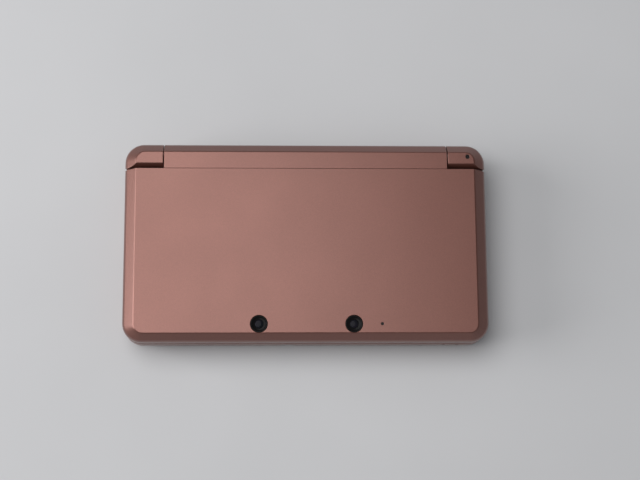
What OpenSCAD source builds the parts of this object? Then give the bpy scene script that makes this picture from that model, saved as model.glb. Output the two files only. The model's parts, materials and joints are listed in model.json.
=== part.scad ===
// Clamshell handheld game console, shut and lying on its base, in millimetres.
// X runs along the hinge, Y from the front edge to the hinge and Z up. The origin is on the
// table, under the middle of the console.

/* [Body] */
// Width along the hinge
body_w = 134; // [130:1:142]
// Depth from the front edge to the hinge edge
body_d = 74; // [73:0.5:80]
// Height of the base, from the table to the deck
base_h = 11; // [11:0.25:13]
// Thickness of the lid
lid_h = 9; // [9:0.25:11]
// Gap that the bumpers keep between deck and lid
lid_gap = 1; // [0.9:0.1:1.4]
// Radius of the body corners seen from above
corner_r = 7; // [5:0.5:8]
// Wall of the casings
wall = 1.4; // [1.2:0.1:1.6]
// Running gap round keys and sliding knobs
play = 0.25; // [0.2:0.05:0.35]

/* [Lid edges] */
// Width of the sloping edge on the left and right
bevel_side = 4.75; // [4:0.25:6]
// Width of the sloping edge at the front
bevel_front = 3; // [2:0.25:3.5]
// Width of the sloping edge at the hinge
bevel_rear = 4; // [3:0.25:4.25]
// Height of the sloping edge
bevel_drop = 5.6; // [4.5:0.25:6.25]
// Inset of the bottom edge of the base
flare = 4.4; // [3:0.2:5]

/* [Hinge] */
// Distance of the hinge axis from the hinge edge
axis_back = 4.4; // [4.2:0.1:4.8]
// Depth of the hinge axis below the top of the lid
axis_drop = 3.6; // [3.4:0.1:4]
// Length of each hinge cap
cap_len = 14.3; // [12:0.5:16]
// Radius of each hinge cap round the axis
cap_r = 5.1; // [4.9:0.1:5.4]
// Radius of the hollow trunnion on the left cap
trunnion_r = 2.3; // [2:0.1:2.4]
// Radius of the steel hinge shaft
shaft_r = 1.5; // [1.2:0.1:1.8]
// Radius of the click unit in the right end of the barrel
detent_r = 2.3; // [2.2:0.05:2.4]
// Radial gap of the turning fits
turn_gap = 0.05; // [0.03:0.01:0.08]

/* [Displays] */
// Width of the visible upper picture
upper_w = 76.8; // [74:0.2:78]
// Height of the visible upper picture
upper_d = 46.1; // [44:0.1:47]
// Width of the visible lower picture
lower_w = 61.4; // [59:0.2:62]
// Height of the visible lower picture
lower_d = 46.1; // [44:0.1:46.5]
// Width of the dark frame round the lower picture
frame_w = 3; // [2:0.25:3.5]
// Thickness of each display module
display_t = 1.3; // [1.1:0.1:1.4]

/* [Cameras] */
// Distance between the two outer camera windows
camera_gap = 34.5; // [32:0.5:40]
// Radius of an outer camera window
camera_r = 3.15; // [2.6:0.05:3.2]
// Distance of the outer camera windows from the front edge
camera_in = 6.1; // [6:0.1:7]
// Radius of the inner camera window
inner_camera_r = 1.7; // [1.2:0.1:2]
// Distance of the camera light from the middle
camera_light_x = 27.5; // [25:0.5:31]

/* [Controls] */
// Radius of the slide pad
pad_r = 8.4; // [7.6:0.2:8.8]
// Travel of the slide pad each way
pad_travel = 2; // [1.6:0.1:2]
// Length of the direction cross
cross_len = 19; // [17:0.5:19]
// Width of an arm of the direction cross
cross_w = 6.4; // [5.6:0.2:7]
// Radius of an action button
button_r = 3.7; // [3.3:0.1:3.9]
// Distance of an action button from the middle of the four
button_spread = 7.9; // [7.7:0.1:8.3]
// Height that the controls stand above the deck
proud = 0.6; // [0.3:0.1:0.6]
// Length of one of the three menu keys
key_len = 20.8; // [18:0.4:21]
// Width of a menu key
key_w = 4; // [3.4:0.1:4.1]
// Radius of the power button
power_r = 2.6; // [2:0.1:3]
// Length of a shoulder button along the hinge edge
shoulder_len = 23; // [20:0.5:24]
// Travel of the volume slider each way
volume_travel = 4; // [2:0.5:5]
// Travel of the wireless switch
wireless_travel = 2; // [1:0.25:2.5]
// Travel of the depth slider each way
depth_travel = 4; // [3:0.5:5]

/* [Slots] */
// Width of the game card slot
card_w = 33.8; // [32:0.2:35]
// Height of the game card slot
card_t = 4.2; // [4.1:0.05:4.3]
// Depth of the game card slot
card_d = 33; // [30:0.5:34]
// Radius of the headphone socket
jack_r = 1.8; // [1.7:0.05:1.9]
// Depth of the headphone socket
jack_d = 12; // [10:0.5:14]
// Width of the power inlet
inlet_w = 8.6; // [7.5:0.1:9]
// Height of the power inlet
inlet_t = 4.3; // [4.1:0.05:4.3]
// Radius of the stylus
stylus_r = 2; // [1.6:0.1:2]
// Width of the memory card
memory_w = 24; // [22:0.5:24]
// Length of the memory card
memory_len = 30; // [27:0.5:30]

/* [Power] */
// Width of the battery
battery_w = 41; // [36:0.5:41]
// Length of the battery
battery_d = 56; // [50:0.5:57]
// Thickness of the battery
battery_t = 4.6; // [4:0.1:4.6]
// Thickness of the battery cover
cover_t = 1.1; // [0.9:0.05:1.2]
// Radius of a rubber foot
foot_r = 2.6; // [2:0.1:3]

/* [Hidden] */
$fn = 48;
PINK = [0.62, 0.44, 0.42];
DARK_PINK = [0.46, 0.31, 0.30];
BLACK = [0.05, 0.05, 0.06];
STEEL = [0.62, 0.62, 0.64];
corner_steps = 6;
more = 1;               // overshoot of a cut past the surface it opens
seat = 0.05;            // gap between pieces that are fixed together
thin = 0.8;             // thin ribs, frames and covers

// Edges and levels of the body
left = -body_w / 2;
right = body_w / 2;
front = -body_d / 2;
rear = body_d / 2;
foot_h = 0.5;
floor_z = foot_h + cover_t + 1;
flare_z = 6.6;                      // where the side of the tub starts to curve in
split_z = 7.4;                      // seam between the tub and the deck
deck_t = 1.4;
deck_under = base_h - deck_t;
rim_round = 0.7;
lid_z = base_h + lid_gap;
top_z = lid_z + lid_h;
bevel_z = top_z - bevel_drop;
lid_split = lid_z + 2.2;
flare_angle = 66;
inside = wall + play;   // inset of what stands clear of a casing wall

// Hinge
axis_y = rear - axis_back;
axis_z = top_z - axis_drop;
seam_y = axis_y - 5.7;              // rear edge of the lid cover
cap_x = body_w / 2 - cap_len;       // inner face of each hinge cap
barrel_x = cap_x - 0.3;             // end of the lid's hinge barrel
barrel_r = 5.5;                     // reach of the barrel round the axis
trunnion_len = 10;
detent_len = 14;
shaft_out = 5;                      // length of the shaft in the right cap

// Stack under the deck
board_t = 0.6;
board_z = base_h - 3.5;             // underside of the main board
board_top = board_z + board_t;
membrane_t = 0.2;
dome_h = 0.15;
display_top = deck_under - seat;

// Controls
pad_in = 18.5;                      // slide pad and cross from the left side
pad_up = 46.5;                      // slide pad from the front edge
cross_up = 19.5;
action_in = 18.5;                   // action buttons from the right side
action_up = 45;
key_up = 4.9;                       // menu keys from the front edge
power_up = 11;
pad_x = left + pad_in;
pad_y = front + pad_up;
pad_hole_r = pad_r + pad_travel * sqrt(2) + play;
skirt_r = pad_hole_r + 1.6;
cross_x = pad_x;
cross_y = front + cross_up;
action_x = right - action_in;
action_y = front + action_up;
key_y = front + key_up;
key_pitch = key_len + 0.4;
power_x = action_x;
power_y = front + power_up;
press = 0.5;                        // travel of an action button
key_press = 0.3;                    // travel of a menu key and of the power button
key_band = 1.85;                    // deck between the menu keys and the touch screen frame
touch_y = key_y + key_w / 2 + key_band + frame_w + lower_d / 2;
housing_w = 26;                     // fixed housing under the slide pad
housing_d = 24;
carriage_w = 18;
pivot_z = board_top + 0.52;         // middle of the ball under the direction cross
pivot_r = 0.5;
rock_gap = 0.18;                    // between the direction cross and its rubber seat
cross_proud = proud - 0.15;

// Slots in the back and sides
bay_wall = thin + 0.3;              // wall and gap round the battery
inlet_in = 43;                      // power inlet from the right side
window_in = 29.5;                   // infrared window from the right side
inlet_d = 7;
inlet_room = 1.1;                   // between the power inlet and the battery bay
battery_in = 34;                    // middle of the battery from the right side
battery_x = right - battery_in;
battery_y = rear - 2 * wall - inlet_d - inlet_room - bay_wall - battery_d / 2;
card_room = 1.7;                    // between the battery bay and the card connector
card_x = battery_x - battery_w / 2 - bay_wall - card_room - thin - card_w / 2;
slot_wall = 0.3;
card_z = floor_z + seat;            // underside of the game card connector
stylus_room = 2;                    // between the card connector and the stylus channel
stylus_x = card_x - card_w / 2 - thin - stylus_room - thin - stylus_r;
stylus_z = floor_z + 1.9;
stylus_len = body_d - 8;
stylus_grip_len = 30;
shaft_tip_r = stylus_r - 0.7;
inlet_x = right - inlet_in;
inlet_z = 5.2;
contact_x = inlet_w / 2 + 3;        // each cradle contact from the middle of the inlet
window_x = right - window_in;
window_w = 7.6;
window_t = 3.6;
window_z = 5.2;
jack_x = -7;
jack_z = floor_z + jack_r + thin + 0.1;
jack_box = 6.2;
memory_up = 29.5;                   // middle of the memory card from the front edge
memory_y = front + memory_up;
memory_z = 4.9;
memory_t = 2.1;
hatch_w = memory_w + 3;
hatch_t = 3.2;
hatch_z = 3.1;                      // lower edge of the memory card hatch
hatch_pin_r = 0.3;
hatch_pin_z = hatch_z + 0.45;
groove_z = base_h - 3.3;            // lower edge of the side grooves
groove_t = 2;
groove_d = 0.9;
knob_t = groove_t - 2 * play;
volume_up = 52;
wireless_up = 47;
volume_y = front + volume_up;
wireless_y = front + wireless_up;
knob_len = 4.5;
slider_knob = 6;

// Shoulder buttons
shoulder_z0 = 3.5;
shoulder_z1 = deck_under - 0.3;
shoulder_y = rear - 7.2;            // front edge of a shoulder button
shoulder_gap = 1.6;                 // room in front of it for its swing
shoulder_side = 0.45;               // room at its inner end
pin_in = 1.8;                       // pivot from the inner end of the button
pin_r = 0.8;

// Battery and its cover
battery_z = foot_h + cover_t + 0.15;
bay_top = battery_z + battery_t + 0.1;
cover_in = flare + 1.6;             // inset of the cover's outline from the body
captive_x = body_w / 2 - cover_in - 5;
captive_y = front + 14.8;
screw_x = body_w / 2 - 8.5;
screw_y0 = front + 8.5;
screw_y1 = rear - 12.4;
screw_head_r = 1.5;
screw_r = 0.8;
boss_r = 2;

// Lid contents
bezel_in = 6;                       // inset of the dark panel from the lid's sides
bezel_y0 = front + 3.2;
bezel_y1 = seam_y - 2.4;
bezel_t = 0.8;
picture_up = 1.65;                  // upper picture from the middle of the lid's flat part
picture_y = (front + seam_y) / 2 + picture_up;
speaker_out = 11;
speaker_x = upper_w / 2 + speaker_out;
speaker_hole_r = 0.7;
lid_plate_t = 1.5;
slider_x = right - 3.1;
slider_y = front + 27;
slider_w = 2.4;
camera_y = front + camera_in;
camera_seat = 0.95;
camera_z = top_z - camera_seat;
bumper_x = right - 3;
bumper_r = 1.3;
plug_r = 1.7;
lid_screw_x = right - wall - plug_r - 0.3;
lid_screw_y0 = front + 6.5;
lid_screw_y1 = seam_y - 4.5;
light_x = right - 6.9;              // notification light on the right hinge cap
light_y = rear - 5.4;
light_r = 0.75;

// Points of a rounded rectangle at height z, anticlockwise from the right-hand side
function ring(x0, y0, x1, y1, r, z) = [
    for (c = [0:3], i = [0:corner_steps])
        let (a = 90 * c + 90 * i / corner_steps,
             cx = c == 0 || c == 3 ? x1 - r : x0 + r,
             cy = c < 2 ? y1 - r : y0 + r)
        [cx + r * cos(a), cy + r * sin(a), z]];

// The body's outline drawn in evenly at height z
function body_ring(in, z) = ring(left + in, front + in, right - in, rear - in,
    max(corner_r - in, 0.6), z);

// How far the side of the tub curves in at height z
function tub_in(z) =
    let (s = max(0, (flare_z - z) / (flare_z - foot_h)) * sin(flare_angle))
    flare * (1 - sqrt(1 - s * s)) / (1 - cos(flare_angle));

// Heights of the steps of that curve
flare_levels = [for (i = [6:-1:0]) flare_z - (flare_z - foot_h) * sin(15 * i)];

// The lid's outline at a share of the way across and up its sloping edge
function lid_ring(in, across, up, drop = 0) = ring(
    left + in + bevel_side * across, front + in + bevel_front * across,
    right - in - bevel_side * across, rear - in - bevel_rear * across,
    max(corner_r - in - 4 * across, 0.6), bevel_z + bevel_drop * up - drop);

// Share across and up of each step of the lid's sloping edge
bevel_curve = [[0, 0], [0.03, 0.14], [0.11, 0.29], [0.22, 0.42], [0.86, 0.93],
    [0.94, 0.98], [1, 1]];

// Axis of the memory card hatch, just inside the curved side
hatch_pin_x = left + tub_in(hatch_pin_z) + 0.45;

// A closed solid through a stack of rings
module loft(rings) {
    n = len(rings[0]);
    last = len(rings) - 1;
    polyhedron(
        points = [for (r = rings, p = r) p],
        faces = concat(
            [[for (i = [0:n - 1]) i]],
            [for (k = [0:last - 1], i = [0:n - 1])
                let (j = (i + 1) % n)
                [k * n + i, (k + 1) * n + i, (k + 1) * n + j, k * n + j]],
            [[for (i = [n - 1:-1:0]) last * n + i]]));
}

// A box between two corners
module block(x0, y0, z0, x1, y1, z1) {
    translate([x0, y0, z0]) cube([x1 - x0, y1 - y0, z1 - z0]);
}

// A box centred on x and y, with rounded upright edges
module tablet(x, y, z0, z1, w, d, r) {
    points = [for (p = ring(x - w / 2, y - d / 2, x + w / 2, y + d / 2, r, 0)) [p[0], p[1]]];
    translate([0, 0, z0]) linear_extrude(z1 - z0) polygon(points);
}

// An upright round bar
module post(x, y, z0, z1, r) {
    translate([x, y, z0]) cylinder(h = z1 - z0, r = r);
}

// A round bar along X
module rod_x(x0, x1, y, z, r) {
    translate([x0, y, z]) rotate([0, 90, 0]) cylinder(h = x1 - x0, r = r);
}

// A round bar along Y
module rod_y(x, y0, y1, z, r) {
    translate([x, y0, z]) rotate([-90, 0, 0]) cylinder(h = y1 - y0, r = r);
}

// Copies its child at both signs of x
module both_sides() {
    children();
    mirror([1, 0, 0]) children();
}

// The outside of the whole lid with its hinge, drawn in by a wall, with an eased lower edge
module lid_envelope(in = 0, z0 = lid_z, ease = 0.6) {
    loft(concat([for (e = [[1, 0], [0.35, 0.25], [0, 1]])
            lid_ring(in + ease * e[0], 0, (z0 + ease * e[1] - bevel_z) / bevel_drop)],
        [for (s = bevel_curve) lid_ring(in, s[0], s[1], in)]));
}

// What a turning hinge cap or barrel may fill round the axis
module round_axis(x0, x1, r) {
    rod_x(x0, x1, axis_y, axis_z, r);
}

// The rim and deck of the base as one block, drawn in by a wall
module deck_envelope(in = 0, z0 = split_z, z1 = base_h, round = rim_round) {
    loft([body_ring(in, z0), body_ring(in, z1 - round), body_ring(in + 0.2 * round, z1 - 0.4 * round),
        body_ring(in + round, z1)]);
}

// The room inside the tub, drawn in evenly, up to height z1
module tub_room(in, z0, z1) {
    loft([for (z = [z0, (z0 + flare_z) / 2, flare_z, z1]) body_ring(wall + in + tub_in(z), z)]);
}

// The outside of the whole base, drawn in evenly
module base_envelope(in) {
    loft(concat([for (z = flare_levels) body_ring(tub_in(z) + in, z)], [body_ring(in, base_h - rim_round)]));
}

// The pocket that a shoulder button swings in, at the right
module shoulder_pocket() {
    block(right - shoulder_len - shoulder_side, shoulder_y - shoulder_gap, shoulder_z0 - play,
        right + more, rear + more, shoulder_z1 + play);
}

// The walls that close a shoulder pocket off from the inside, at the right
module shoulder_walls(z0, z1) {
    block(right - shoulder_len - shoulder_side - thin, shoulder_y - shoulder_gap - thin, z0,
        right - wall, shoulder_y - shoulder_gap, z1);
    block(right - shoulder_len - shoulder_side - thin, shoulder_y - shoulder_gap, z0,
        right - shoulder_len - shoulder_side, rear - wall, z1);
}

// The round hole for the nose of the headphone socket, cut through both casings
module jack_hole() {
    rod_y(jack_x, front - more, front + 2 * wall, jack_z, jack_r + thin + seat);
}

// The openings in the back wall of the tub; the two wide ones reach up to the deck
module wall_openings() {
    block(card_x - card_w / 2, rear - 2 * wall, card_z + slot_wall,
        card_x + card_w / 2, rear + more, split_z + more);
    block(inlet_x - inlet_w / 2, rear - 2 * wall, inlet_z - inlet_t / 2,
        inlet_x + inlet_w / 2, rear + more, split_z + more);
    for (s = [-1, 1])
        block(inlet_x + s * contact_x - 1.2 - seat, rear - 2 * wall, inlet_z - 1 - seat,
            inlet_x + s * contact_x + 1.2 + seat, rear + more, inlet_z + 1 + seat);
    block(window_x - window_w / 2 - seat, rear - 2 * wall, window_z - window_t / 2 - seat,
        window_x + window_w / 2 + seat, rear + more, window_z + window_t / 2 + seat);
}

// The lower casing with its screw posts and the floors of the shoulder pockets
module base_tub() {
    z0 = floor_z - 0.2;
    color(PINK) difference() {
        union() {
            difference() {
                loft([for (z = concat(flare_levels, [split_z])) body_ring(tub_in(z), z)]);
                tub_room(0, floor_z, split_z + more);
            }
            both_sides() intersection() {
                block(right - shoulder_len - shoulder_side - thin, shoulder_y - shoulder_gap - thin,
                    z0, right, rear, shoulder_z0 - play);
                loft([for (z = [foot_h, floor_z, split_z]) body_ring(tub_in(z) + 0.3, z)]);
            }
            for (x = [-screw_x, screw_x], y = [screw_y0, screw_y1])
                post(x, y, z0, split_z, boss_r);
        }
        tub_cuts();
    }
}

// The walls that stand on the floor of the tub: the battery bay, the stylus channel, the ends of
// the shoulder pockets and two posts under the slide pad
module inner_walls() {
    z0 = floor_z + seat;
    bay_w = battery_w + 2 * bay_wall;
    bay_d = battery_d + 2 * bay_wall;
    color(BLACK) difference() {
        intersection() {
            union() {
                block(battery_x - bay_w / 2, battery_y - bay_d / 2, z0,
                    battery_x + bay_w / 2, battery_y + bay_d / 2, bay_top + 0.6);
                block(stylus_x - stylus_r - thin, rear - stylus_len - thin, z0,
                    stylus_x + stylus_r + thin, rear - wall, stylus_z + stylus_r + 0.6);
                for (s = [-1, 1]) post(pad_x + 9 * s, pad_y + 9.5, z0, board_z - 0.85, 1.4);
                both_sides() shoulder_walls(shoulder_z0 - play + seat, deck_under - seat);
            }
            tub_room(seat, z0, deck_under - seat);
        }
        battery_room(0);
        stylus_bore();
    }
}

// Room for the battery, from below
module battery_room(z0) {
    block(battery_x - battery_w / 2 - 0.3, battery_y - battery_d / 2 - 0.3, z0,
        battery_x + battery_w / 2 + 0.3, battery_y + battery_d / 2 + 0.3, bay_top);
}

// The bore that the stylus slides in
module stylus_bore() {
    rod_y(stylus_x, rear - stylus_len - 0.2, rear + more, stylus_z, stylus_r + 0.15);
}

// Everything that is cut out of the tub
module tub_cuts() {
    recess = cover_in - 0.15;
    loft([body_ring(recess, foot_h - more), body_ring(recess, foot_h + cover_t)]);
    battery_room(foot_h);
    stylus_bore();
    both_sides() shoulder_pocket();
    for (x = [-screw_x, screw_x], y = [screw_y0, screw_y1]) {
        post(x, y, 0, split_z + more, screw_r + seat);
        post(x, y, 0, floor_z + thin, screw_head_r + 0.1);
    }
    both_sides() post(captive_x, captive_y, 0, floor_z + more, screw_r + seat);
    wall_openings();
    jack_hole();
    block(left - more, memory_y - hatch_w / 2 - 0.2, hatch_z - 0.3,
        left + wall + more, memory_y + hatch_w / 2 + 0.2, hatch_z + hatch_t + 0.2);
    rod_y(hatch_pin_x, memory_y - hatch_w / 2 - 1, memory_y + hatch_w / 2 + 1, hatch_pin_z, hatch_pin_r + 0.05);
}

// The middle casing: the rim of the base and the deck with the holes for the controls
module base_deck() {
    color(PINK) difference() {
        union() {
            difference() {
                deck_envelope();
                loft([body_ring(wall, split_z - more), body_ring(wall, deck_under)]);
            }
            for (x = [-screw_x, screw_x], y = [screw_y0, screw_y1])
                post(x, y, split_z, deck_under + seat, boss_r);
        }
        deck_cuts();
    }
}

// The opening for the direction cross, grown by a gap
module cross_shape(gap, z0, z1) {
    for (a = [0, 90])
        translate([cross_x, cross_y, 0]) rotate([0, 0, a])
            tablet(0, 0, z0, z1, cross_len + 2 * gap, cross_w + 2 * gap, 1 + gap);
}

// Everything that is cut out of the deck
module deck_cuts() {
    z0 = deck_under - more;
    z1 = base_h + more;
    tablet(0, touch_y, z0, z1, lower_w + 2 * frame_w + 2 * seat, lower_d + 2 * frame_w + 2 * seat, 1.5);
    post(pad_x, pad_y, z0, z1, pad_hole_r);
    cross_shape(0.45, z0, z1);
    for (a = [0:90:270])
        post(action_x + button_spread * cos(a), action_y + button_spread * sin(a), z0, z1,
            button_r + play);
    tablet(0, key_y, z0, z1, 3 * key_pitch, key_w + 2 * play, 1.2);
    post(power_x, power_y, z0, z1, power_r + play);
    post(key_pitch * 1.5 + 3, key_y, z0, z1, 0.5);
    both_sides() shoulder_pocket();
    for (x = [-screw_x, screw_x], y = [screw_y0, screw_y1])
        post(x, y, split_z - more, deck_under - 0.4, screw_r + seat);
    side_groove(left, volume_y, 2 * volume_travel + knob_len + 2);
    side_groove(right, wireless_y, wireless_travel + knob_len + 2);
    jack_hole();
    for (x = light_pipe_x)
        rod_y(x, front - more, front + 2 * wall, groove_z + groove_t / 2, 0.6 + seat);
    rod_x(right - 2 * wall, right + more, wireless_y - 8, groove_z + groove_t / 2, 0.6 + seat);
}

// A groove in the rim for a sliding knob, with a slot through the wall for its stem
module side_groove(x, y, len) {
    s = sign(x);
    translate([x, y, groove_z]) block(-groove_d, -len / 2, 0, groove_d, len / 2, groove_t);
    translate([x, y, groove_z + groove_t / 2])
        block(s > 0 ? -2 * wall : -more, 1 - len / 2, -0.4, s > 0 ? more : 2 * wall, len / 2 - 1, 0.4);
}

// Places of the power and charge lights along the front
light_pipe_x = [right - 16, right - 11];

// The plate that closes the whole bottom
module battery_cover() {
    color(DARK_PINK) difference() {
        loft([body_ring(cover_in + 0.5, foot_h), body_ring(cover_in, foot_h + 0.35),
            body_ring(cover_in, foot_h + cover_t - seat)]);
        both_sides() {
            post(captive_x, captive_y, 0, foot_h + 0.6, screw_head_r + 0.2);
            post(captive_x, captive_y, 0, foot_h + cover_t + more, screw_r + seat);
        }
        foot_places() post(0, 0, 0, foot_h + 0.3, foot_r + seat);
    }
}

// Copies its child to the places of the four feet
module foot_places() {
    for (x = [left + cover_in + 6, right - cover_in - 6], y = [front + cover_in + 3.6, rear - cover_in - 3.6])
        translate([x, y, 0]) children();
}

module rubber_feet() {
    color(BLACK) foot_places() union() {
        post(0, 0, 0.2, foot_h + 0.3, foot_r);
        translate([0, 0, 0]) cylinder(h = 0.2, r1 = foot_r - 0.3, r2 = foot_r);
    }
}

// A cross-head screw with its head at the bottom
module screw(z0, head_h, length) {
    difference() {
        union() {
            post(0, 0, z0, z0 + head_h, screw_head_r);
            post(0, 0, z0, z0 + length, screw_r);
        }
        for (a = [0, 90]) rotate([0, 0, a]) block(-1, -0.2, z0 - more, 1, 0.2, z0 + 0.4);
    }
}

// The four casing screws under the battery cover and the two that hold the cover
module base_screws() {
    color(STEEL) {
        for (x = [-screw_x, screw_x], y = [screw_y0, screw_y1])
            translate([x, y, 0]) screw(floor_z, thin - 0.1, deck_under - floor_z - 0.6);
        both_sides() translate([captive_x, captive_y, 0]) screw(foot_h + 0.05, 0.5, 3.6);
    }
}

module battery_pack() {
    color(BLACK) difference() {
        tablet(battery_x, battery_y, battery_z, battery_z + battery_t, battery_w, battery_d, 1.2);
        for (i = [-1:1])
            block(battery_x + 6 * i - 1.5, battery_y - battery_d / 2 - more, battery_z + battery_t - 2,
                battery_x + 6 * i + 1.5, battery_y - battery_d / 2 + 0.6, battery_z + battery_t + more);
    }
}

// The main board, cut round the slide pad, the shoulder pockets and the screw posts
module main_board() {
    edge = inside + 0.6;
    color("darkgreen") union() {
        difference() {
            loft([body_ring(edge, board_z), body_ring(edge, board_top)]);
            block(left, pad_y - housing_d / 2 - 1.2, 0, pad_x + housing_w / 2 + 1.2, rear, base_h);
            block(left, shoulder_y - shoulder_gap - thin - 0.6, 0, right, rear, base_h);
            for (x = [-screw_x, screw_x], y = [screw_y0, screw_y1])
                post(x, y, 0, base_h, boss_r + 0.3);
            block(left, volume_y - 8, 0, left + 2 * wall + 1, volume_y + 8, base_h);
        }
        tablet(jack_x, touch_y - 6, board_z - 1, board_z, 18, 12, 1);
        tablet(battery_x, battery_y + 6, board_z - 0.4, board_z, 22, 22, 1);
        tablet(battery_x - 6, battery_y - 18, board_z - 0.4, board_z, 12, 10, 0.8);
        for (i = [0:4])
            block(jack_x - 11 + 5 * i, touch_y - 18, board_z - 0.5, jack_x - 9 + 5 * i, touch_y - 16.6, board_z);
    }
}

// The dark frame that the touch screen sits in
module touch_frame() {
    color(BLACK) difference() {
        tablet(0, touch_y, display_top + seat, base_h - 0.1, lower_w + 2 * frame_w, lower_d + 2 * frame_w, 1.5);
        tablet(0, touch_y, deck_under - more, base_h + more, lower_w + 1, lower_d + 1, 0.6);
    }
}

module touch_glass() {
    color([0.09, 0.1, 0.12]) tablet(0, touch_y, display_top + seat, base_h - 0.35, lower_w + 0.8, lower_d + 0.8, 0.6);
}

module lower_display() {
    color(STEEL) union() {
        tablet(0, touch_y, display_top - display_t, display_top, lower_w + 5, lower_d + 6, 0.6);
        block(-12, touch_y - lower_d / 2 + 4, board_top, 12, touch_y - lower_d / 2 + 9, display_top - display_t);
    }
}

// The fixed housing under the slide pad, with rails for the carriage
module slide_pad_housing() {
    z = board_z - 0.8;
    color(BLACK) union() {
        tablet(pad_x, pad_y, z, z + 0.7, housing_w, housing_d, 1.5);
        for (s = [-1, 1])
            block(pad_x - housing_w / 2 + 1, pad_y + s * (housing_d / 2 - 2) - thin, z + 0.7,
                pad_x + housing_w / 2 - 1, pad_y + s * (housing_d / 2 - 2) + thin, z + 1.3);
        block(pad_x + housing_w / 2, pad_y - 6, z, pad_x + housing_w / 2 + thin, pad_y + 6, board_top);
    }
}

module slide_pad_carriage() {
    z = board_z + 0.05;
    color("silver") difference() {
        tablet(pad_x, pad_y, z, z + 0.55, carriage_w, carriage_w, 1);
        tablet(pad_x, pad_y, z - more, z + more, 7.2, carriage_w - 6, 1);
    }
}

// The cap of the slide pad, with a dished top, a skirt under the deck and a stem
module slide_pad() {
    z1 = base_h + proud;
    edge = 0.5;
    dish_r = 40;
    color([0.55, 0.46, 0.45]) translate([pad_x, pad_y, 0]) difference() {
        union() {
            rotate_extrude() polygon([
                [0, deck_under - 0.7], [skirt_r - 0.6, deck_under - 0.7], [skirt_r - 0.6, deck_under - 0.2],
                [pad_r - 1.6, deck_under - 0.2], [pad_r - 1.6, base_h - 0.6], [pad_r, base_h - 0.1],
                [pad_r, z1 - edge], [pad_r - 0.15, z1 - 0.15], [pad_r - edge, z1], [0, z1]]);
            post(0, 0, board_z + 0.1, deck_under - 0.6, 3);
        }
        translate([0, 0, z1 - 0.5 + dish_r]) sphere(r = dish_r, $fn = 96);
    }
}

// The rubber seat and the ball that the direction cross rocks on
module cross_pivot() {
    color("dimgray") union() {
        post(cross_x, cross_y, pivot_z - 0.3, pivot_z, 2.4);
        translate([cross_x, cross_y, pivot_z]) sphere(r = pivot_r);
    }
}

module direction_cross() {
    z0 = deck_under - 0.6;
    z1 = base_h + cross_proud;
    color(PINK) difference() {
        union() {
            for (a = [0, 90])
                translate([cross_x, cross_y, 0]) rotate([0, 0, a]) {
                    tablet(0, 0, z0, z1 - 0.4, cross_len, cross_w, 1);
                    tablet(0, 0, z1 - 0.4, z1 - 0.15, cross_len - 0.3, cross_w - 0.3, 0.9);
                    tablet(0, 0, z1 - 0.15, z1, cross_len - 1, cross_w - 1, 0.6);
                }
            post(cross_x, cross_y, z0, z0 + 0.15, 6.4);
            post(cross_x, cross_y, pivot_z + rock_gap, z0 + 0.1, 2);
        }
        translate([cross_x, cross_y, pivot_z]) sphere(r = pivot_r + turn_gap);
        translate([cross_x, cross_y, z1 + 9.4]) sphere(r = 10, $fn = 96);
        for (a = [0:90:270])
            translate([cross_x, cross_y, 0]) rotate([0, 0, a])
                tablet(cross_len / 2 - 2.4, 0, z1 - 0.3, z1 + more, 0.7, cross_w - 3, 0.3);
    }
}

// One action button at an angle round the middle of the four
module action_button(angle) {
    z0 = deck_under - press;
    z1 = base_h + proud;
    color(PINK) translate([action_x + button_spread * cos(angle), action_y + button_spread * sin(angle), 0])
        rotate_extrude() polygon(concat(
            [[0, z0], [button_r + 0.7, z0], [button_r + 0.7, z0 + 0.4], [button_r, z0 + 0.4], [button_r, z1 - 0.8]],
            [for (a = [20:10:90]) [button_r * cos(a * 0.98), z1 - 0.8 + 0.8 * sin(a)]],
            [[0, z1]]));
}

module button_right() { action_button(0); }
module button_top() { action_button(90); }
module button_left() { action_button(180); }
module button_bottom() { action_button(270); }

// One of the three keys under the touch screen
module menu_key(place) {
    x = place * key_pitch;
    z0 = deck_under - 0.5;
    z1 = base_h + 0.15;
    color(DARK_PINK) union() {
        tablet(x, key_y, z0, z1 - 0.2, key_len - play, key_w, 1);
        tablet(x, key_y, z1 - 0.2, z1, key_len - play - 0.4, key_w - 0.4, 0.8);
        tablet(x, key_y, z0, deck_under - 0.1, key_len - play, key_w + 1.1, 0.6);
    }
}

module select_key() { menu_key(-1); }
module home_key() { menu_key(0); }
module start_key() { menu_key(1); }

module power_button() {
    z0 = deck_under - 0.5;
    z1 = base_h + 0.2;
    color("silver") translate([power_x, power_y, 0]) rotate_extrude() polygon([
        [0, z0], [power_r + 0.6, z0], [power_r + 0.6, z0 + 0.4], [power_r, z0 + 0.4], [power_r, z1 - 0.2],
        [power_r - 0.2, z1], [power_r - 0.8, z1], [power_r - 1, z1 - 0.1], [0, z1 - 0.1]]);
}

// A dome of rubber membrane
module dome(x, y, r) {
    translate([x, y, board_top + membrane_t]) cylinder(h = dome_h, r1 = r, r2 = r - 0.3);
}

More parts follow.
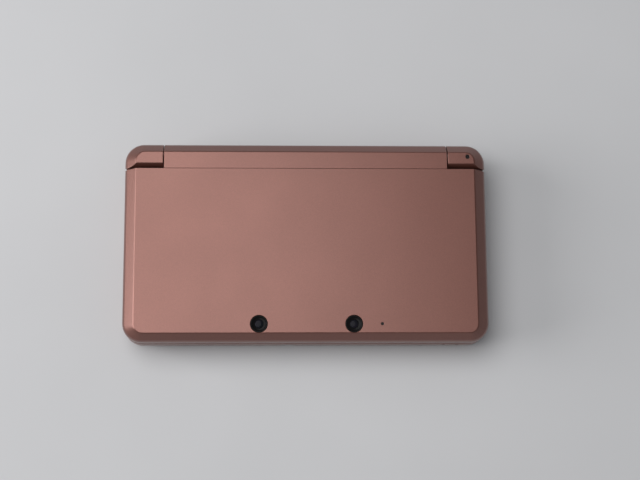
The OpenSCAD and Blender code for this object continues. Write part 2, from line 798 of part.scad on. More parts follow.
// The rubber sheets under the cross, the action buttons and the menu keys
module button_membranes() {
    z = board_top;
    color("gainsboro") {
        difference() {
            union() {
                tablet(cross_x, cross_y, z, z + membrane_t, cross_len + 1, cross_len + 1, 4);
                for (a = [0:90:270]) dome(cross_x + 6.6 * cos(a), cross_y + 6.6 * sin(a), 1.8);
            }
            post(cross_x, cross_y, 0, base_h, 2.7);
        }
        union() {
            tablet(action_x, action_y, z, z + membrane_t, 25, 25, 7);
            for (a = [0:90:270])
                dome(action_x + button_spread * cos(a), action_y + button_spread * sin(a), 2.2);
        }
        union() {
            tablet(0, key_y, z, z + membrane_t, 3 * key_pitch, key_w, 1);
            for (i = [-1:1]) dome(i * key_pitch, key_y, 1.6);
        }
        union() {
            tablet(power_x, power_y, z, z + membrane_t, 6, 6, 1);
            dome(power_x, power_y, 1.6);
        }
    }
}

// The game card connector, open at the back
module card_slot() {
    w = card_w + 2 * thin;
    z1 = card_z + 2 * slot_wall + card_t;
    color(BLACK) difference() {
        block(card_x - w / 2, rear - wall - card_d - 1, card_z, card_x + w / 2, rear - 2 * wall - seat, z1);
        block(card_x - card_w / 2, rear - card_d - wall, card_z + slot_wall, card_x + card_w / 2, rear + more,
            z1 - slot_wall);
    }
}

module memory_socket() {
    w = memory_w + 2 * thin + 0.4;
    x0 = left + wall + tub_in(memory_z - memory_t / 2 - 0.7) + 0.15;
    color(STEEL) difference() {
        block(x0, memory_y - w / 2, memory_z - memory_t / 2 - 0.7, left + wall + memory_len + 2.2, memory_y + w / 2,
            memory_z + memory_t / 2 + 0.5);
        block(x0 - more, memory_y - memory_w / 2 - 0.2, memory_z - memory_t / 2 - 0.15,
            left + wall + memory_len + 1.5, memory_y + memory_w / 2 + 0.2, memory_z + memory_t / 2 + 0.15);
    }
}

// The memory card, which can be pushed in a little further to free it
module memory_card() {
    x0 = left + wall + 0.3;
    color([0.15, 0.2, 0.35]) difference() {
        block(x0, memory_y - memory_w / 2, memory_z - memory_t / 2, x0 + memory_len, memory_y + memory_w / 2,
            memory_z + memory_t / 2);
        block(x0 - more, memory_y + memory_w / 2 - 1, 0, x0 + 1.5, memory_y + memory_w / 2 + more, base_h);
    }
}

// The hatch over the memory card, hinged along its lower edge
module memory_cover() {
    z1 = hatch_z + hatch_t;
    points = [[hatch_pin_x + 0.25, hatch_z + 0.2], [left + wall - 0.1, hatch_z + 0.7], [left + wall - 0.1, z1],
        [left + tub_in(z1), z1], [left + tub_in(hatch_z + 2), hatch_z + 2],
        [left + tub_in(hatch_z + 1), hatch_z + 1], [left + tub_in(hatch_z + 0.4), hatch_z + 0.4],
        [hatch_pin_x - 0.2, hatch_z + 0.1]];
    color(PINK) union() {
        translate([0, memory_y + hatch_w / 2, 0]) rotate([90, 0, 0]) linear_extrude(hatch_w) polygon(points);
        rod_y(hatch_pin_x, memory_y - hatch_w / 2 - 0.8, memory_y + hatch_w / 2 + 0.8, hatch_pin_z, hatch_pin_r);
    }
}

module power_inlet() {
    w = inlet_w + 1.6;
    t = inlet_t + 0.5;
    color(BLACK) difference() {
        block(inlet_x - w / 2, rear - 2 * wall - inlet_d, inlet_z - t / 2, inlet_x + w / 2,
            rear - 2 * wall - seat, inlet_z + t / 2);
        block(inlet_x - inlet_w / 2, rear - 2 * wall - inlet_d + 1, inlet_z - inlet_t / 2,
            inlet_x + inlet_w / 2, rear + more, inlet_z + inlet_t / 2);
    }
}

module cradle_contacts() {
    color("gold") intersection() {
        base_envelope(0.1);
        for (s = [-1, 1])
            block(inlet_x + s * contact_x - 1.2, rear - 2 * wall, inlet_z - 1,
                inlet_x + s * contact_x + 1.2, rear, inlet_z + 1);
    }
}

module infrared_window() {
    color([0.12, 0.02, 0.03]) intersection() {
        base_envelope(0.1);
        block(window_x - window_w / 2, rear - 2 * wall, window_z - window_t / 2,
            window_x + window_w / 2, rear, window_z + window_t / 2);
    }
}

// The headphone socket, with its round nose in the front wall
module headphone_jack() {
    y0 = front + tub_in(jack_z - jack_r - thin);
    box_y = front + wall + tub_in(floor_z) + 0.1;
    color(BLACK) difference() {
        union() {
            rod_y(jack_x, y0 + 0.1, front + inside + 0.5, jack_z, jack_r + thin);
            rod_y(jack_x, front + inside, box_y + 0.1, jack_z, board_z - 0.1 - jack_z);
            block(jack_x - jack_box / 2, box_y, floor_z + seat, jack_x + jack_box / 2,
                front + jack_d + 2.4, board_z - 0.1);
        }
        rod_y(jack_x, front - more, y0 + 0.1 + jack_d, jack_z, jack_r);
    }
}

// The clear rods that carry light to the front edge, the side and the right hinge cap
module light_pipes() {
    z = groove_z + groove_t / 2;
    color("ivory") {
        for (x = light_pipe_x) rod_y(x, front + 0.1, front + 2 * wall + 1, z, 0.6);
        rod_x(right - 2 * wall - 1, right - 0.1, wireless_y - 8, z, 0.6);
        post(light_x, light_y, top_z - 3.2, top_z - 0.15, light_r);
    }
}

// Outside of a hinge cap on the right: the lid's own shape, rounded about the axis, on a foot
module cap_body() {
    intersection() {
        union() {
            round_axis(cap_x, right + more, cap_r);
            block(cap_x, axis_y - cap_r + 1, base_h - more, right + more, rear + more, axis_z);
        }
        lid_envelope(0, base_h);
        block(cap_x, front, base_h + seat, right + more, rear + more, top_z + more);
    }
}

module hinge_cap_left() {
    color(PINK) mirror([1, 0, 0]) difference() {
        union() {
            cap_body();
            rod_x(cap_x - trunnion_len, cap_x + 1, axis_y, axis_z, trunnion_r);
        }
        rod_x(cap_x - trunnion_len - more, right - 4.5, axis_y, axis_z, trunnion_r - 0.8);
    }
}

module hinge_cap_right() {
    color(PINK) difference() {
        cap_body();
        rod_x(cap_x - more, cap_x + shaft_out, axis_y, axis_z, shaft_r + 0.02);
        post(light_x, light_y, top_z - 3.4, top_z + more, light_r + seat);
    }
}

module hinge_shaft() {
    color(STEEL) rod_x(cap_x + 0.1 - detent_len - 0.4, cap_x + shaft_out - 0.1, axis_y, axis_z, shaft_r);
}

// The click unit that turns on the shaft and holds the lid where it is put
module hinge_detent() {
    x1 = barrel_x - 0.2;
    color(STEEL) difference() {
        rod_x(x1 - detent_len, x1, axis_y, axis_z, detent_r);
        rod_x(x1 - detent_len - more, x1 + more, axis_y, axis_z, shaft_r + turn_gap);
    }
}

// The rolled ribbon that runs through the hollow trunnion
module display_flex() {
    r = trunnion_r - 0.8 - 0.3;
    color("orange") difference() {
        rod_x(-right + 7, -cap_x + trunnion_len + 6, axis_y, axis_z, r);
        rod_x(-right, right, axis_y, axis_z, r - 0.5);
    }
}

// The shell over the back of the lid, with the holes for the two outer cameras
module lid_cover() {
    color(PINK) difference() {
        union() {
            difference() {
                intersection() {
                    lid_envelope();
                    block(left, front, lid_split, right, seam_y, top_z + more);
                }
                intersection() {
                    lid_envelope(wall, lid_split - more, 0);
                    block(left, front, lid_split - more, right, seam_y - wall, top_z);
                }
            }
            for (s = [-1, 1])
                post(s * (camera_gap / 2 + 7), camera_y + 1, camera_z - 2.2 + seat, top_z - wall / 2, 1.2);
        }
        for (s = [-1, 1]) {
            post(s * camera_gap / 2, camera_y, top_z - 2 * wall, top_z + more, camera_r + seat);
        }
        post(camera_light_x, camera_y, top_z - 2 * wall, top_z + more, 0.55);
    }
}

// The inner casing of the lid with the hinge barrel
module lid_frame() {
    color(PINK) difference() {
        union() {
            difference() {
                intersection() {
                    lid_envelope();
                    block(left, front, lid_z, right, seam_y, lid_split - seat);
                }
                intersection() {
                    lid_envelope(wall, lid_z, 0);
                    block(left, front, lid_z + lid_plate_t, right, seam_y - wall, lid_split + more);
                }
            }
            frame_bosses();
            barrel();
        }
        frame_cuts();
    }
}

// The part of the lid between the hinge caps
module barrel() {
    intersection() {
        lid_envelope();
        union() {
            round_axis(-barrel_x, barrel_x, barrel_r);
            block(-barrel_x, seam_y - 1, lid_z, barrel_x, axis_y, top_z + more);
        }
        block(-barrel_x, seam_y + seat, lid_z, barrel_x, rear + more, top_z + more);
    }
    block(-barrel_x, seam_y - wall, lid_z, barrel_x, seam_y + 1, lid_split - seat);
}

module frame_bosses() {
    for (x = [-lid_screw_x, lid_screw_x], y = [lid_screw_y0, lid_screw_y1])
        post(x, y, lid_z + 0.2, lid_split - seat, plug_r + 0.5);
}

module frame_cuts() {
    z0 = lid_z - more;
    bezel_ring = ring(left + bezel_in - seat, bezel_y0 - seat, right - bezel_in + seat, bezel_y1 + seat, 3, 0);
    translate([0, 0, z0]) linear_extrude(more + bezel_t) polygon([for (p = bezel_ring) [p[0], p[1]]]);
    tablet(0, picture_y, z0, lid_split, upper_w + 1, upper_d + 1, 1);
    both_sides() tablet(speaker_x, picture_y, z0, lid_split, 9, 12, 2);
    post(0, camera_y - 0.6, z0, lid_split, inner_camera_r + 0.6);
    tablet(slider_x, slider_y, z0, lid_split, slider_w + 2 * play, 2 * depth_travel + slider_knob + 2 * play,
        (slider_w + 2 * play) / 2 - 0.2);
    for (x = [-lid_screw_x, lid_screw_x], y = [lid_screw_y0, lid_screw_y1]) {
        post(x, y, z0, lid_z + 1.3, plug_r + seat);
        post(x, y, z0, lid_split + more, screw_r + seat);
    }
    rod_x(-barrel_x - more, -barrel_x + trunnion_len + 0.6, axis_y, axis_z, trunnion_r + turn_gap);
    rod_x(barrel_x - detent_len - 0.6, barrel_x + more, axis_y, axis_z, detent_r + 0.02);
    rod_x(-barrel_x, barrel_x, axis_y, axis_z, shaft_r + 0.2);
}

// The dark panel round the upper picture, with the speaker holes
module display_bezel() {
    outline = ring(left + bezel_in, bezel_y0, right - bezel_in, bezel_y1, 3, 0);
    color(BLACK) difference() {
        translate([0, 0, lid_z + seat]) linear_extrude(bezel_t - seat) polygon([for (p = outline) [p[0], p[1]]]);
        tablet(0, picture_y, 0, top_z, upper_w + 0.4, upper_d + 0.4, 1);
        post(0, camera_y - 0.6, 0, top_z, inner_camera_r + seat);
        both_sides() for (i = [-1:1], j = [-1, 1])
            post(speaker_x + 1.6 * j, picture_y + 3.2 * i, 0, top_z, speaker_hole_r);
    }
}

module display_lens() {
    color([0.1, 0.11, 0.13]) tablet(0, picture_y, lid_z + seat, lid_z + bezel_t, upper_w + 0.2, upper_d + 0.2, 0.9);
}

module upper_display() {
    z0 = lid_z + lid_plate_t + seat;
    color(STEEL) union() {
        tablet(0, picture_y, z0, z0 + 2 * display_t, upper_w + 5, upper_d + 3, 0.8);
        tablet(0, picture_y, z0 - 0.65, z0 + 0.1, upper_w + 0.6, upper_d + 0.6, 0.8);
    }
}

module speakers() {
    z0 = lid_z + lid_plate_t + seat;
    color(BLACK) both_sides() union() {
        tablet(speaker_x, picture_y, z0, z0 + 2.6, 11.5, 16, 2);
        tablet(speaker_x, picture_y, z0 - 0.6, z0 + 0.1, 8.4, 11.4, 1.8);
    }
}

// The board across the front of the lid with both outer cameras
module camera_board() {
    z1 = camera_z - 2.2;
    color("darkgreen") union() {
        tablet(1, camera_y + 0.6, z1 - 0.8, z1, camera_gap + 22, 5.4, 1);
        for (s = [-1, 1]) translate([s * camera_gap / 2, camera_y, 0]) {
            tablet(0, 0.6, z1, z1 + 1.2, 5.4, 5.4, 0.6);
            post(0, 0, z1, camera_z - seat, 2);
        }
    }
}

// The two round windows over the outer cameras
module camera_windows() {
    color(BLACK) for (s = [-1, 1]) translate([s * camera_gap / 2, camera_y, 0])
        rotate_extrude() polygon([[0, camera_z], [camera_r, camera_z], [camera_r, top_z - 0.25],
            [camera_r - 0.5, top_z - 0.25], [camera_r - 0.9, top_z - 0.55], [1.6, top_z - 0.55],
            [1.2, top_z - 0.4], [0, top_z - 0.3]]);
}

module inner_camera() {
    z0 = lid_z + 0.1;
    color(BLACK) translate([0, camera_y - 0.6, 0]) union() {
        post(0, 0, z0, z0 + 1.6, inner_camera_r);
        tablet(0, 0.3, lid_z + lid_plate_t + seat, lid_z + lid_plate_t + 1.4, 6, 5, 0.6);
    }
}

module camera_light() {
    color("ivory") post(camera_light_x, camera_y, camera_z - 2.2 + seat, top_z - 0.1, 0.5);
}

module lid_bumpers() {
    color(BLACK) for (x = [-bumper_x, bumper_x], y = [front + 12.5, seam_y - 10])
        post(x, y, base_h + 0.1, lid_z - 0.02, bumper_r);
}

module screw_caps() {
    color("dimgray") for (x = [-lid_screw_x, lid_screw_x], y = [lid_screw_y0, lid_screw_y1])
        post(x, y, lid_z + 0.05, lid_z + 0.55, plug_r);
}

module lid_screws() {
    color(STEEL) for (x = [-lid_screw_x, lid_screw_x], y = [lid_screw_y0, lid_screw_y1])
        translate([x, y, 0]) screw(lid_z + 0.6, 0.6, 2.8);
}

// The ridged knob beside the upper picture
module depth_slider() {
    z0 = lid_z - 0.35;
    color("silver") difference() {
        union() {
            tablet(slider_x, slider_y, z0, lid_z + lid_plate_t, slider_w, slider_knob, slider_w / 2 - 0.2);
            tablet(slider_x, slider_y, lid_z + lid_plate_t + seat, lid_z + lid_plate_t + 0.6, slider_w - 0.4,
                slider_knob + 1, 0.4);
            post(slider_x, slider_y, lid_z + 0.5, lid_z + lid_plate_t + 0.5, slider_w / 2 - 0.4);
        }
        for (i = [-2:2])
            block(slider_x - slider_w, slider_y + 0.9 * i - 0.15, z0 - more, slider_x + slider_w,
                slider_y + 0.9 * i + 0.15, z0 + 0.2);
    }
}

// A knob in a groove of the rim, with its stem through the wall
module side_knob(x, y, length) {
    s = sign(x);
    z = groove_z + groove_t / 2;
    stem = wall + 1;
    color(DARK_PINK) difference() {
        union() {
            translate([x, y, z]) block(s > 0 ? play - groove_d : 0.1, -length / 2, -knob_t / 2,
                s > 0 ? -0.1 : groove_d - play, length / 2, knob_t / 2);
            translate([x, y, z]) block(s > 0 ? -stem : play, -0.8, -0.25, s > 0 ? -play : stem, 0.8, 0.25);
        }
        for (i = [-1:1]) translate([x, y + i, z])
            block(-0.3, -0.15, -base_h, 0.3, 0.15, base_h);
    }
}

module volume_slider() { side_knob(left, volume_y, knob_len); }
module wireless_switch() { side_knob(right, wireless_y - wireless_travel / 2, knob_len); }

// The corner button at the right, cut from the body's own outline
module shoulder_body() {
    difference() {
        intersection() {
            base_envelope(0.1);
            block(right - shoulder_len, shoulder_y, shoulder_z0, right + more, rear + more, shoulder_z1);
        }
        loft([body_ring(2 * wall, shoulder_z0 + 1), body_ring(2 * wall, shoulder_z1 - 1)]);
        post(right - shoulder_len + pin_in, rear - 4, 0, base_h, pin_r + 0.05);
    }
}

module shoulder_right() { color(DARK_PINK) shoulder_body(); }
module shoulder_left() { color(DARK_PINK) mirror([1, 0, 0]) shoulder_body(); }

module shoulder_pins() {
    color(STEEL) both_sides()
        post(right - shoulder_len + pin_in, rear - 4, shoulder_z0 - play, shoulder_z1 + play, pin_r);
}

// The tip half of the stylus, a thin shaft on a thicker collar
module stylus_shaft() {
    y0 = rear - stylus_len;
    color(STEEL) union() {
        rod_y(stylus_x, y0 + 2, rear - 12, stylus_z, shaft_tip_r - 0.1);
        rod_y(stylus_x, y0 + 4, rear - stylus_grip_len - 0.2, stylus_z, stylus_r - 0.1);
        translate([stylus_x, y0 + 2.01, stylus_z]) rotate([90, 0, 0])
            cylinder(h = 2, r1 = shaft_tip_r - 0.1, r2 = 0.4);
    }
}

// The hollow grip half of the stylus, which pulls out over the shaft
module stylus_grip() {
    color(DARK_PINK) difference() {
        intersection() {
            rod_y(stylus_x, rear - stylus_grip_len, rear, stylus_z, stylus_r);
            base_envelope(0.2);
        }
        rod_y(stylus_x, rear - stylus_grip_len - more, rear - 8, stylus_z, shaft_tip_r);
        translate([stylus_x, rear - 2, stylus_z - stylus_r]) rotate([0, 90, 0])
            cylinder(h = 2 * stylus_r, r = 0.5, center = true);
    }
}

base_tub();
base_deck();
inner_walls();
battery_cover();
battery_pack();
rubber_feet();
main_board();
touch_frame();
touch_glass();
lower_display();
slide_pad_housing();
button_membranes();
card_slot();
memory_socket();
power_inlet();
cradle_contacts();
infrared_window();
headphone_jack();
light_pipes();
hinge_cap_left();
hinge_cap_right();
hinge_shaft();
shoulder_pins();
base_screws();
lid_cover();
lid_frame();
display_bezel();
display_lens();
upper_display();
speakers();
camera_board();
camera_windows();
inner_camera();
camera_light();
lid_bumpers();
screw_caps();
lid_screws();
hinge_detent();
display_flex();
depth_slider();
slide_pad_carriage();
slide_pad();
cross_pivot();
direction_cross();
button_top();
button_bottom();
button_left();
button_right();
select_key();
home_key();
start_key();
power_button();
shoulder_left();
shoulder_right();
volume_slider();
wireless_switch();
memory_cover();
memory_card();
stylus_shaft();
stylus_grip();
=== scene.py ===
# %% [markdown]
# # A folding handheld game console
# The console lies shut on a table, seen from almost straight above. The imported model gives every
# part its place and size. This lesson dresses those parts: it rebuilds the casings, keys and
# windows with the soft edges that catch the light, and paints each of them.

# %% Load the frame
import json
from math import cos, pi, radians, sin

import bmesh
import bpy
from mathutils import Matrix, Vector


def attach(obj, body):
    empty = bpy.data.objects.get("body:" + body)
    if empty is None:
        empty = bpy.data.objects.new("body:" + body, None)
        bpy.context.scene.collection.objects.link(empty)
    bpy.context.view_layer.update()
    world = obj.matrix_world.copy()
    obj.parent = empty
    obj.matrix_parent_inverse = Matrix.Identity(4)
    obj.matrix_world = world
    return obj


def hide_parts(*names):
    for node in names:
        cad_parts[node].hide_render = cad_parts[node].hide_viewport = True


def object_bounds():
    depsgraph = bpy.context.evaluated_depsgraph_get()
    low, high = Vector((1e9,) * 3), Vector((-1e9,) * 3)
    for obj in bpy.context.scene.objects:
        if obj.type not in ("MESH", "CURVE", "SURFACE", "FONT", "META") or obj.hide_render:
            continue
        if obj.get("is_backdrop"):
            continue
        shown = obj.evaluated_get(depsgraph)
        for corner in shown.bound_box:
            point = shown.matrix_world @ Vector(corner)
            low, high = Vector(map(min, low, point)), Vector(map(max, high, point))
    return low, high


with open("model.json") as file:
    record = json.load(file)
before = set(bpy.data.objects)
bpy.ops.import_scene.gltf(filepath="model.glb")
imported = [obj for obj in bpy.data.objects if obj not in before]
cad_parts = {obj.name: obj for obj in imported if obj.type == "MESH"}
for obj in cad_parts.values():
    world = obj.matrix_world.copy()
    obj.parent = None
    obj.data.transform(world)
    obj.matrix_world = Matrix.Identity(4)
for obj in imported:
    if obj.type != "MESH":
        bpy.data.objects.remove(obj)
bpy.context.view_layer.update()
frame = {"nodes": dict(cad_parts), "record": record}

MM = 0.001
nodes = frame["nodes"]

# %% [markdown]
# ## Camera
# The place of the camera was worked out from the photograph: the outline of the lid, the edge of
# its flat top and the two lenses fit a camera half a metre above the table, leaning back by
# eleven degrees. A long lens keeps the sides almost parallel.

# %% Camera
camera_data = bpy.data.cameras.new("camera")
camera_data.sensor_width = 36
camera_data.lens = 79
camera = bpy.data.objects.new("camera", camera_data)
camera.location = Vector((-14.8, -98.6, 525.0)) * MM
camera.rotation_euler = [radians(a) for a in (11.07, -2.18, -0.35)]
scene = bpy.context.scene
scene.collection.objects.link(camera)
scene.camera = camera
scene.view_settings.view_transform = "Standard"
print("camera at", tuple(round(v, 3) for v in camera.location))

# %% [markdown]
# ## Light
# A low, broad lamp far to the left makes the left half of the lid and its left edge the
# brightest, as in the photograph, and throws a soft shadow to the right. A second broad lamp high
# above, a little behind the console, lights the flat top evenly. A weak grey sky keeps the shaded
# sides readable.

# %% Lamps
def area_lamp(name, place, target, size, power):
    """A round lamp with its size in metres and its power in watts."""
    data = bpy.data.lights.new(name, "AREA")
    data.shape = "DISK"
    data.size, data.energy = size, power
    lamp = bpy.data.objects.new(name, data)
    lamp.location = place
    lamp.rotation_euler = (Vector(target) - Vector(place)).to_track_quat("-Z", "Y").to_euler()
    scene.collection.objects.link(lamp)
    print(name, "of", power, "W at", place)


area_lamp("window_lamp", (-1.20, 0.0, 0.42), (0, 0, 0), 0.90, 11.5)
area_lamp("top_lamp", (-0.30, 0.14, 1.00), (0, 0, 0), 0.9, 6.5)

world = bpy.data.worlds.new("studio")
scene.world = world
world.use_nodes = True
sky = world.node_tree.nodes["Background"]
sky.inputs["Color"].default_value = (0.80, 0.82, 0.85, 1)
sky.inputs["Strength"].default_value = 0.22

# %% [markdown]
# ## Working by hand, in code
# Each piece starts as a primitive and is shaped in edit mode. An operator works on whatever is
# selected, so one helper clears the selection and another picks the faces or edges that pass a
# test on their place or direction. The rest of the helpers name the steps that come back often.
# All of them take millimetres, as a drawing does, while Blender itself works in metres.

# %% Selecting
def clear_selection():
    if bpy.context.mode != "OBJECT":
        bpy.ops.object.mode_set(mode="OBJECT")
    bpy.ops.object.select_all(action="DESELECT")


def take(piece):
    """Makes the piece the only selected one and the active one."""
    clear_selection()
    piece.select_set(True)
    bpy.context.view_layer.objects.active = piece


def pick(piece, kind, test):
    """Opens the piece in edit mode with only the faces or edges selected that pass the test."""
    take(piece)
    bpy.ops.object.mode_set(mode="EDIT")
    bpy.ops.mesh.select_mode(type=kind)
    bpy.ops.mesh.select_all(action="DESELECT")
    mesh = bmesh.from_edit_mesh(piece.data)
    chosen = [item for item in (mesh.faces if kind == "FACE" else mesh.edges) if test(item)]
    for item in chosen:
        item.select_set(True)
    bmesh.update_edit_mesh(piece.data)
    return len(chosen)


# %% Tests on edges and faces
X, Y, Z = 0, 1, 2  # the axes of a place


def at(axis, *places):
    """Edges or faces that lie wholly at one of the places along an axis."""
    return lambda item: any(all(abs(v.co[axis] - place * MM) < 2e-6 for v in item.verts)
                            for place in places)


def upright(edge):
    """Edges that run straight up."""
    run = edge.verts[0].co - edge.verts[1].co
    return abs(run.x) + abs(run.y) < 1e-6 < abs(run.z)


# %% Starting shapes
ALONG_X, ALONG_Y = (1, 0, 0), (0, 1, 0)  # from left to right, from the front to the hinge edge


def settle(piece, name):
    """Puts the piece's place and size into its mesh, so that its object sits at the origin."""
    piece.name = piece.data.name = name
    take(piece)
    bpy.ops.object.transform_apply(location=True, rotation=True, scale=True)
    return piece


def box(name, low, high):
    """A block between two corners."""
    clear_selection()
    low, high = Vector(low) * MM, Vector(high) * MM
    bpy.ops.mesh.primitive_cube_add(size=1, location=(low + high) / 2)
    piece = bpy.context.active_object
    piece.scale = high - low
    return settle(piece, name)


def drum(name, centre, radius, length, along=(0, 0, 1), sides=64):
    """A round bar with its middle at centre, lying along a direction."""
    clear_selection()
    turn = Vector(along).to_track_quat("Z", "Y").to_euler()
    bpy.ops.mesh.primitive_cylinder_add(vertices=sides, radius=radius * MM, depth=length * MM,
                                        location=Vector(centre) * MM, rotation=turn)
    return settle(bpy.context.active_object, name)


def post(name, x, y, z0, z1, radius, sides=64):
    """An upright round bar between two heights."""
    return drum(name, (x, y, (z0 + z1) / 2), radius, z1 - z0, sides=sides)


def tablet(name, low, high, corner, edge=0.0, steps=6):
    """A block with rounded upright edges and, if wanted, a softened upper edge."""
    piece = box(name, low, high)
    pick(piece, "EDGE", upright)
    bpy.ops.mesh.bevel(offset=corner * MM, segments=steps, affect="EDGES")
    if edge:
        pick(piece, "EDGE", at(Z, high[2]))
        bpy.ops.mesh.bevel(offset=edge * MM, segments=3, affect="EDGES")
    clear_selection()
    return piece


# %% Cutting and joining
def apply_modifiers(piece):
    take(piece)
    for modifier in list(piece.modifiers):
        bpy.ops.object.modifier_apply(modifier=modifier.name)


def combine(piece, tool, operation="DIFFERENCE"):
    """Cuts the tool out of the piece, adds it or keeps what they share, and removes the tool."""
    modifier = piece.modifiers.new("combine", "BOOLEAN")
    modifier.operation, modifier.object, modifier.solver = operation, tool, "EXACT"
    apply_modifiers(piece)
    bpy.data.objects.remove(tool)
    return piece


def joined(name, *pieces):
    """One object from pieces that don't touch each other's surfaces."""
    clear_selection()
    for piece in pieces:
        piece.select_set(True)
    bpy.context.view_layer.objects.active = pieces[0]
    bpy.ops.object.join()
    pieces[0].name = pieces[0].data.name = name
    return pieces[0]


def sliced(piece, point, keep):
    """Cuts a piece along a plane and keeps the side that the direction points to."""
    take(piece)
    bpy.ops.object.mode_set(mode="EDIT")
    bpy.ops.mesh.select_all(action="SELECT")
    bpy.ops.mesh.bisect(plane_co=Vector(point) * MM, plane_no=keep, use_fill=True,
                        clear_inner=True)
    clear_selection()
    return piece


def ease(piece, width, test, steps=2, angle=40):
    """Bevels the edges that pass the test and are sharper than the angle."""
    def chosen(edge):
        return edge.is_manifold and edge.calc_face_angle() > radians(angle) and test(edge)
    if pick(piece, "EDGE", chosen):
        bpy.ops.mesh.bevel(offset=width * MM, segments=steps, affect="EDGES", clamp_overlap=False)
    clear_selection()


# %% Copying
def copied(piece, name, shift=(0, 0, 0)):
    """A copy with its own mesh, moved by a number of millimetres."""
    take(piece)
    bpy.ops.object.duplicate()
    twin = bpy.context.active_object
    twin.location = Vector(shift) * MM
    return settle(twin, name)


def mirrored(piece, name):
    """A copy of the piece on the other side of the middle, with its faces turned outwards."""
    twin = copied(piece, name)
    twin.scale.x = -1
    settle(twin, name)
    bpy.ops.object.mode_set(mode="EDIT")
    bpy.ops.mesh.select_all(action="SELECT")
    bpy.ops.mesh.normals_make_consistent(inside=False)
    clear_selection()
    return twin


# %% Finishing a piece
def smooth(piece, angle=35):
    """Smooth shading that follows the large faces, so that flat faces stay flat."""
    take(piece)
    bpy.ops.object.shade_smooth_by_angle(angle=radians(angle))
    modifier = piece.modifiers.new("large faces lead", "WEIGHTED_NORMAL")
    modifier.keep_sharp = True
    apply_modifiers(piece)
    clear_selection()


def dress(piece, body, slot, *stands_for, material=None):
    """Paints a finished piece, fixes it to its body and lets it stand for its CAD nodes."""
    piece.data.materials.clear()
    piece.data.materials.append(material or finishes[slot])
    smooth(piece)
    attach(piece, body)
    if stands_for:
        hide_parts(*stands_for)
    print(piece.name, "has", len(piece.data.polygons), "faces and rides on", body)


# %% [markdown]
# A turned piece, such as a button or a lens, is a form that Blender has no primitive for. It
# starts as a short round bar, and its upper face is drawn on through a list of radii and heights.
# A spin of an outline would do as well, but here the list reads like the turner's drawing.

# %% Turned pieces
def turned(name, x, y, profile, sides=64):
    """A round piece through radii and heights, from its widest start onwards."""
    (r0, z0), (r1, z1) = profile[:2]
    piece = post(name, x, y, min(z0, z1), max(z0, z1), r0, sides)
    pick(piece, "FACE", at(Z, z1))
    centre = Vector((x, y, z1)) * MM
    bpy.ops.transform.resize(value=(r1 / r0, r1 / r0, 1), center_override=centre)
    for (ra, za), (rb, zb) in zip(profile[1:], profile[2:]):
        bpy.ops.mesh.extrude_region_move(TRANSFORM_OT_translate={"value": (0, 0, (zb - za) * MM)})
        centre = Vector((x, y, zb)) * MM
        bpy.ops.transform.resize(value=(rb / ra, rb / ra, 1), center_override=centre)
    clear_selection()
    return piece


# %% [markdown]
# ## Shared effects for the finishes
# Real paint and plastic are never one flat colour. Four effects return in nearly every material
# here, so each is a node group: slow clouds of colour, the flake of a pearl paint, whose cells
# serve as a painted glint, the fine grain of a moulded surface and the hairlines that handling
# leaves. They read places on the object, in metres, and give back values only.

# %% Node helpers
def add(tree, kind, inputs=None, **settings):
    """Adds a node, sets it up and joins or fills its inputs."""
    node = tree.nodes.new(kind)
    for key, value in settings.items():
        setattr(node, key, value)
    for key, value in (inputs or {}).items():
        if isinstance(value, bpy.types.NodeSocket):
            tree.links.new(value, node.inputs[key])
        else:
            node.inputs[key].default_value = value
    return node


def use(tree, group, **inputs):
    """Places an effect in a material and returns its value."""
    return add(tree, "ShaderNodeGroup", inputs, node_tree=group).outputs[0]


def effect(name, inputs, output):
    """An empty node group that takes a place and some numbers and gives one value."""
    group = bpy.data.node_groups.new(name, "ShaderNodeTree")
    group.interface.new_socket("Place", in_out="INPUT", socket_type="NodeSocketVector")
    for label, value in inputs.items():
        socket = group.interface.new_socket(label, in_out="INPUT", socket_type="NodeSocketFloat")
        socket.default_value = value
    group.interface.new_socket(output, in_out="OUTPUT", socket_type="NodeSocketFloat")
    start = group.nodes.new("NodeGroupInput")
    end = group.nodes.new("NodeGroupOutput")
    return group, start.outputs, end.inputs[output]


# %% Clouds, flake and grain
clouds, have, out = effect("clouds", {"Scale": 20.0, "Softness": 0.2}, "Mask")
noise = add(clouds, "ShaderNodeTexNoise",
            {"Vector": have["Place"], "Scale": have["Scale"], "Detail": 3.0})
low = add(clouds, "ShaderNodeMath", {0: 0.5, 1: have["Softness"]}, operation="SUBTRACT")
high = add(clouds, "ShaderNodeMath", {0: 0.5, 1: have["Softness"]}, operation="ADD")
spread = add(clouds, "ShaderNodeMapRange", {"Value": noise.outputs["Fac"],
                                            "From Min": low.outputs[0],
                                            "From Max": high.outputs[0]})
clouds.links.new(spread.outputs[0], out)

# The flake cells: the paint's own speckle, used as a painted glint that makes some specks brighter
# and others darker.
flake, have, out = effect("flake", {"Scale": 7000.0}, "Glint")
cells = add(flake, "ShaderNodeTexVoronoi", {"Vector": have["Place"], "Scale": have["Scale"]})
parts = add(flake, "ShaderNodeSeparateColor", {0: cells.outputs["Color"]})
flake.links.new(parts.outputs[0], out)

grain, have, out = effect("grain", {"Scale": 3000.0}, "Height")
fine = add(grain, "ShaderNodeTexNoise",
           {"Vector": have["Place"], "Scale": have["Scale"], "Detail": 2.0})
grain.links.new(fine.outputs["Fac"], out)

# %% [markdown]
# A hairline is a crest of a noise that is stretched along one direction. Three layers, each
# turned another way, are laid over each other, and only the highest crests are kept.

# %% Hairlines
HAIR_TURNS = (0.35, 1.1, 2.3)  # directions of the scratches, in radians
HAIR_CREST = (0.655, 0.70)  # height at which a scratch begins, and at which it is full

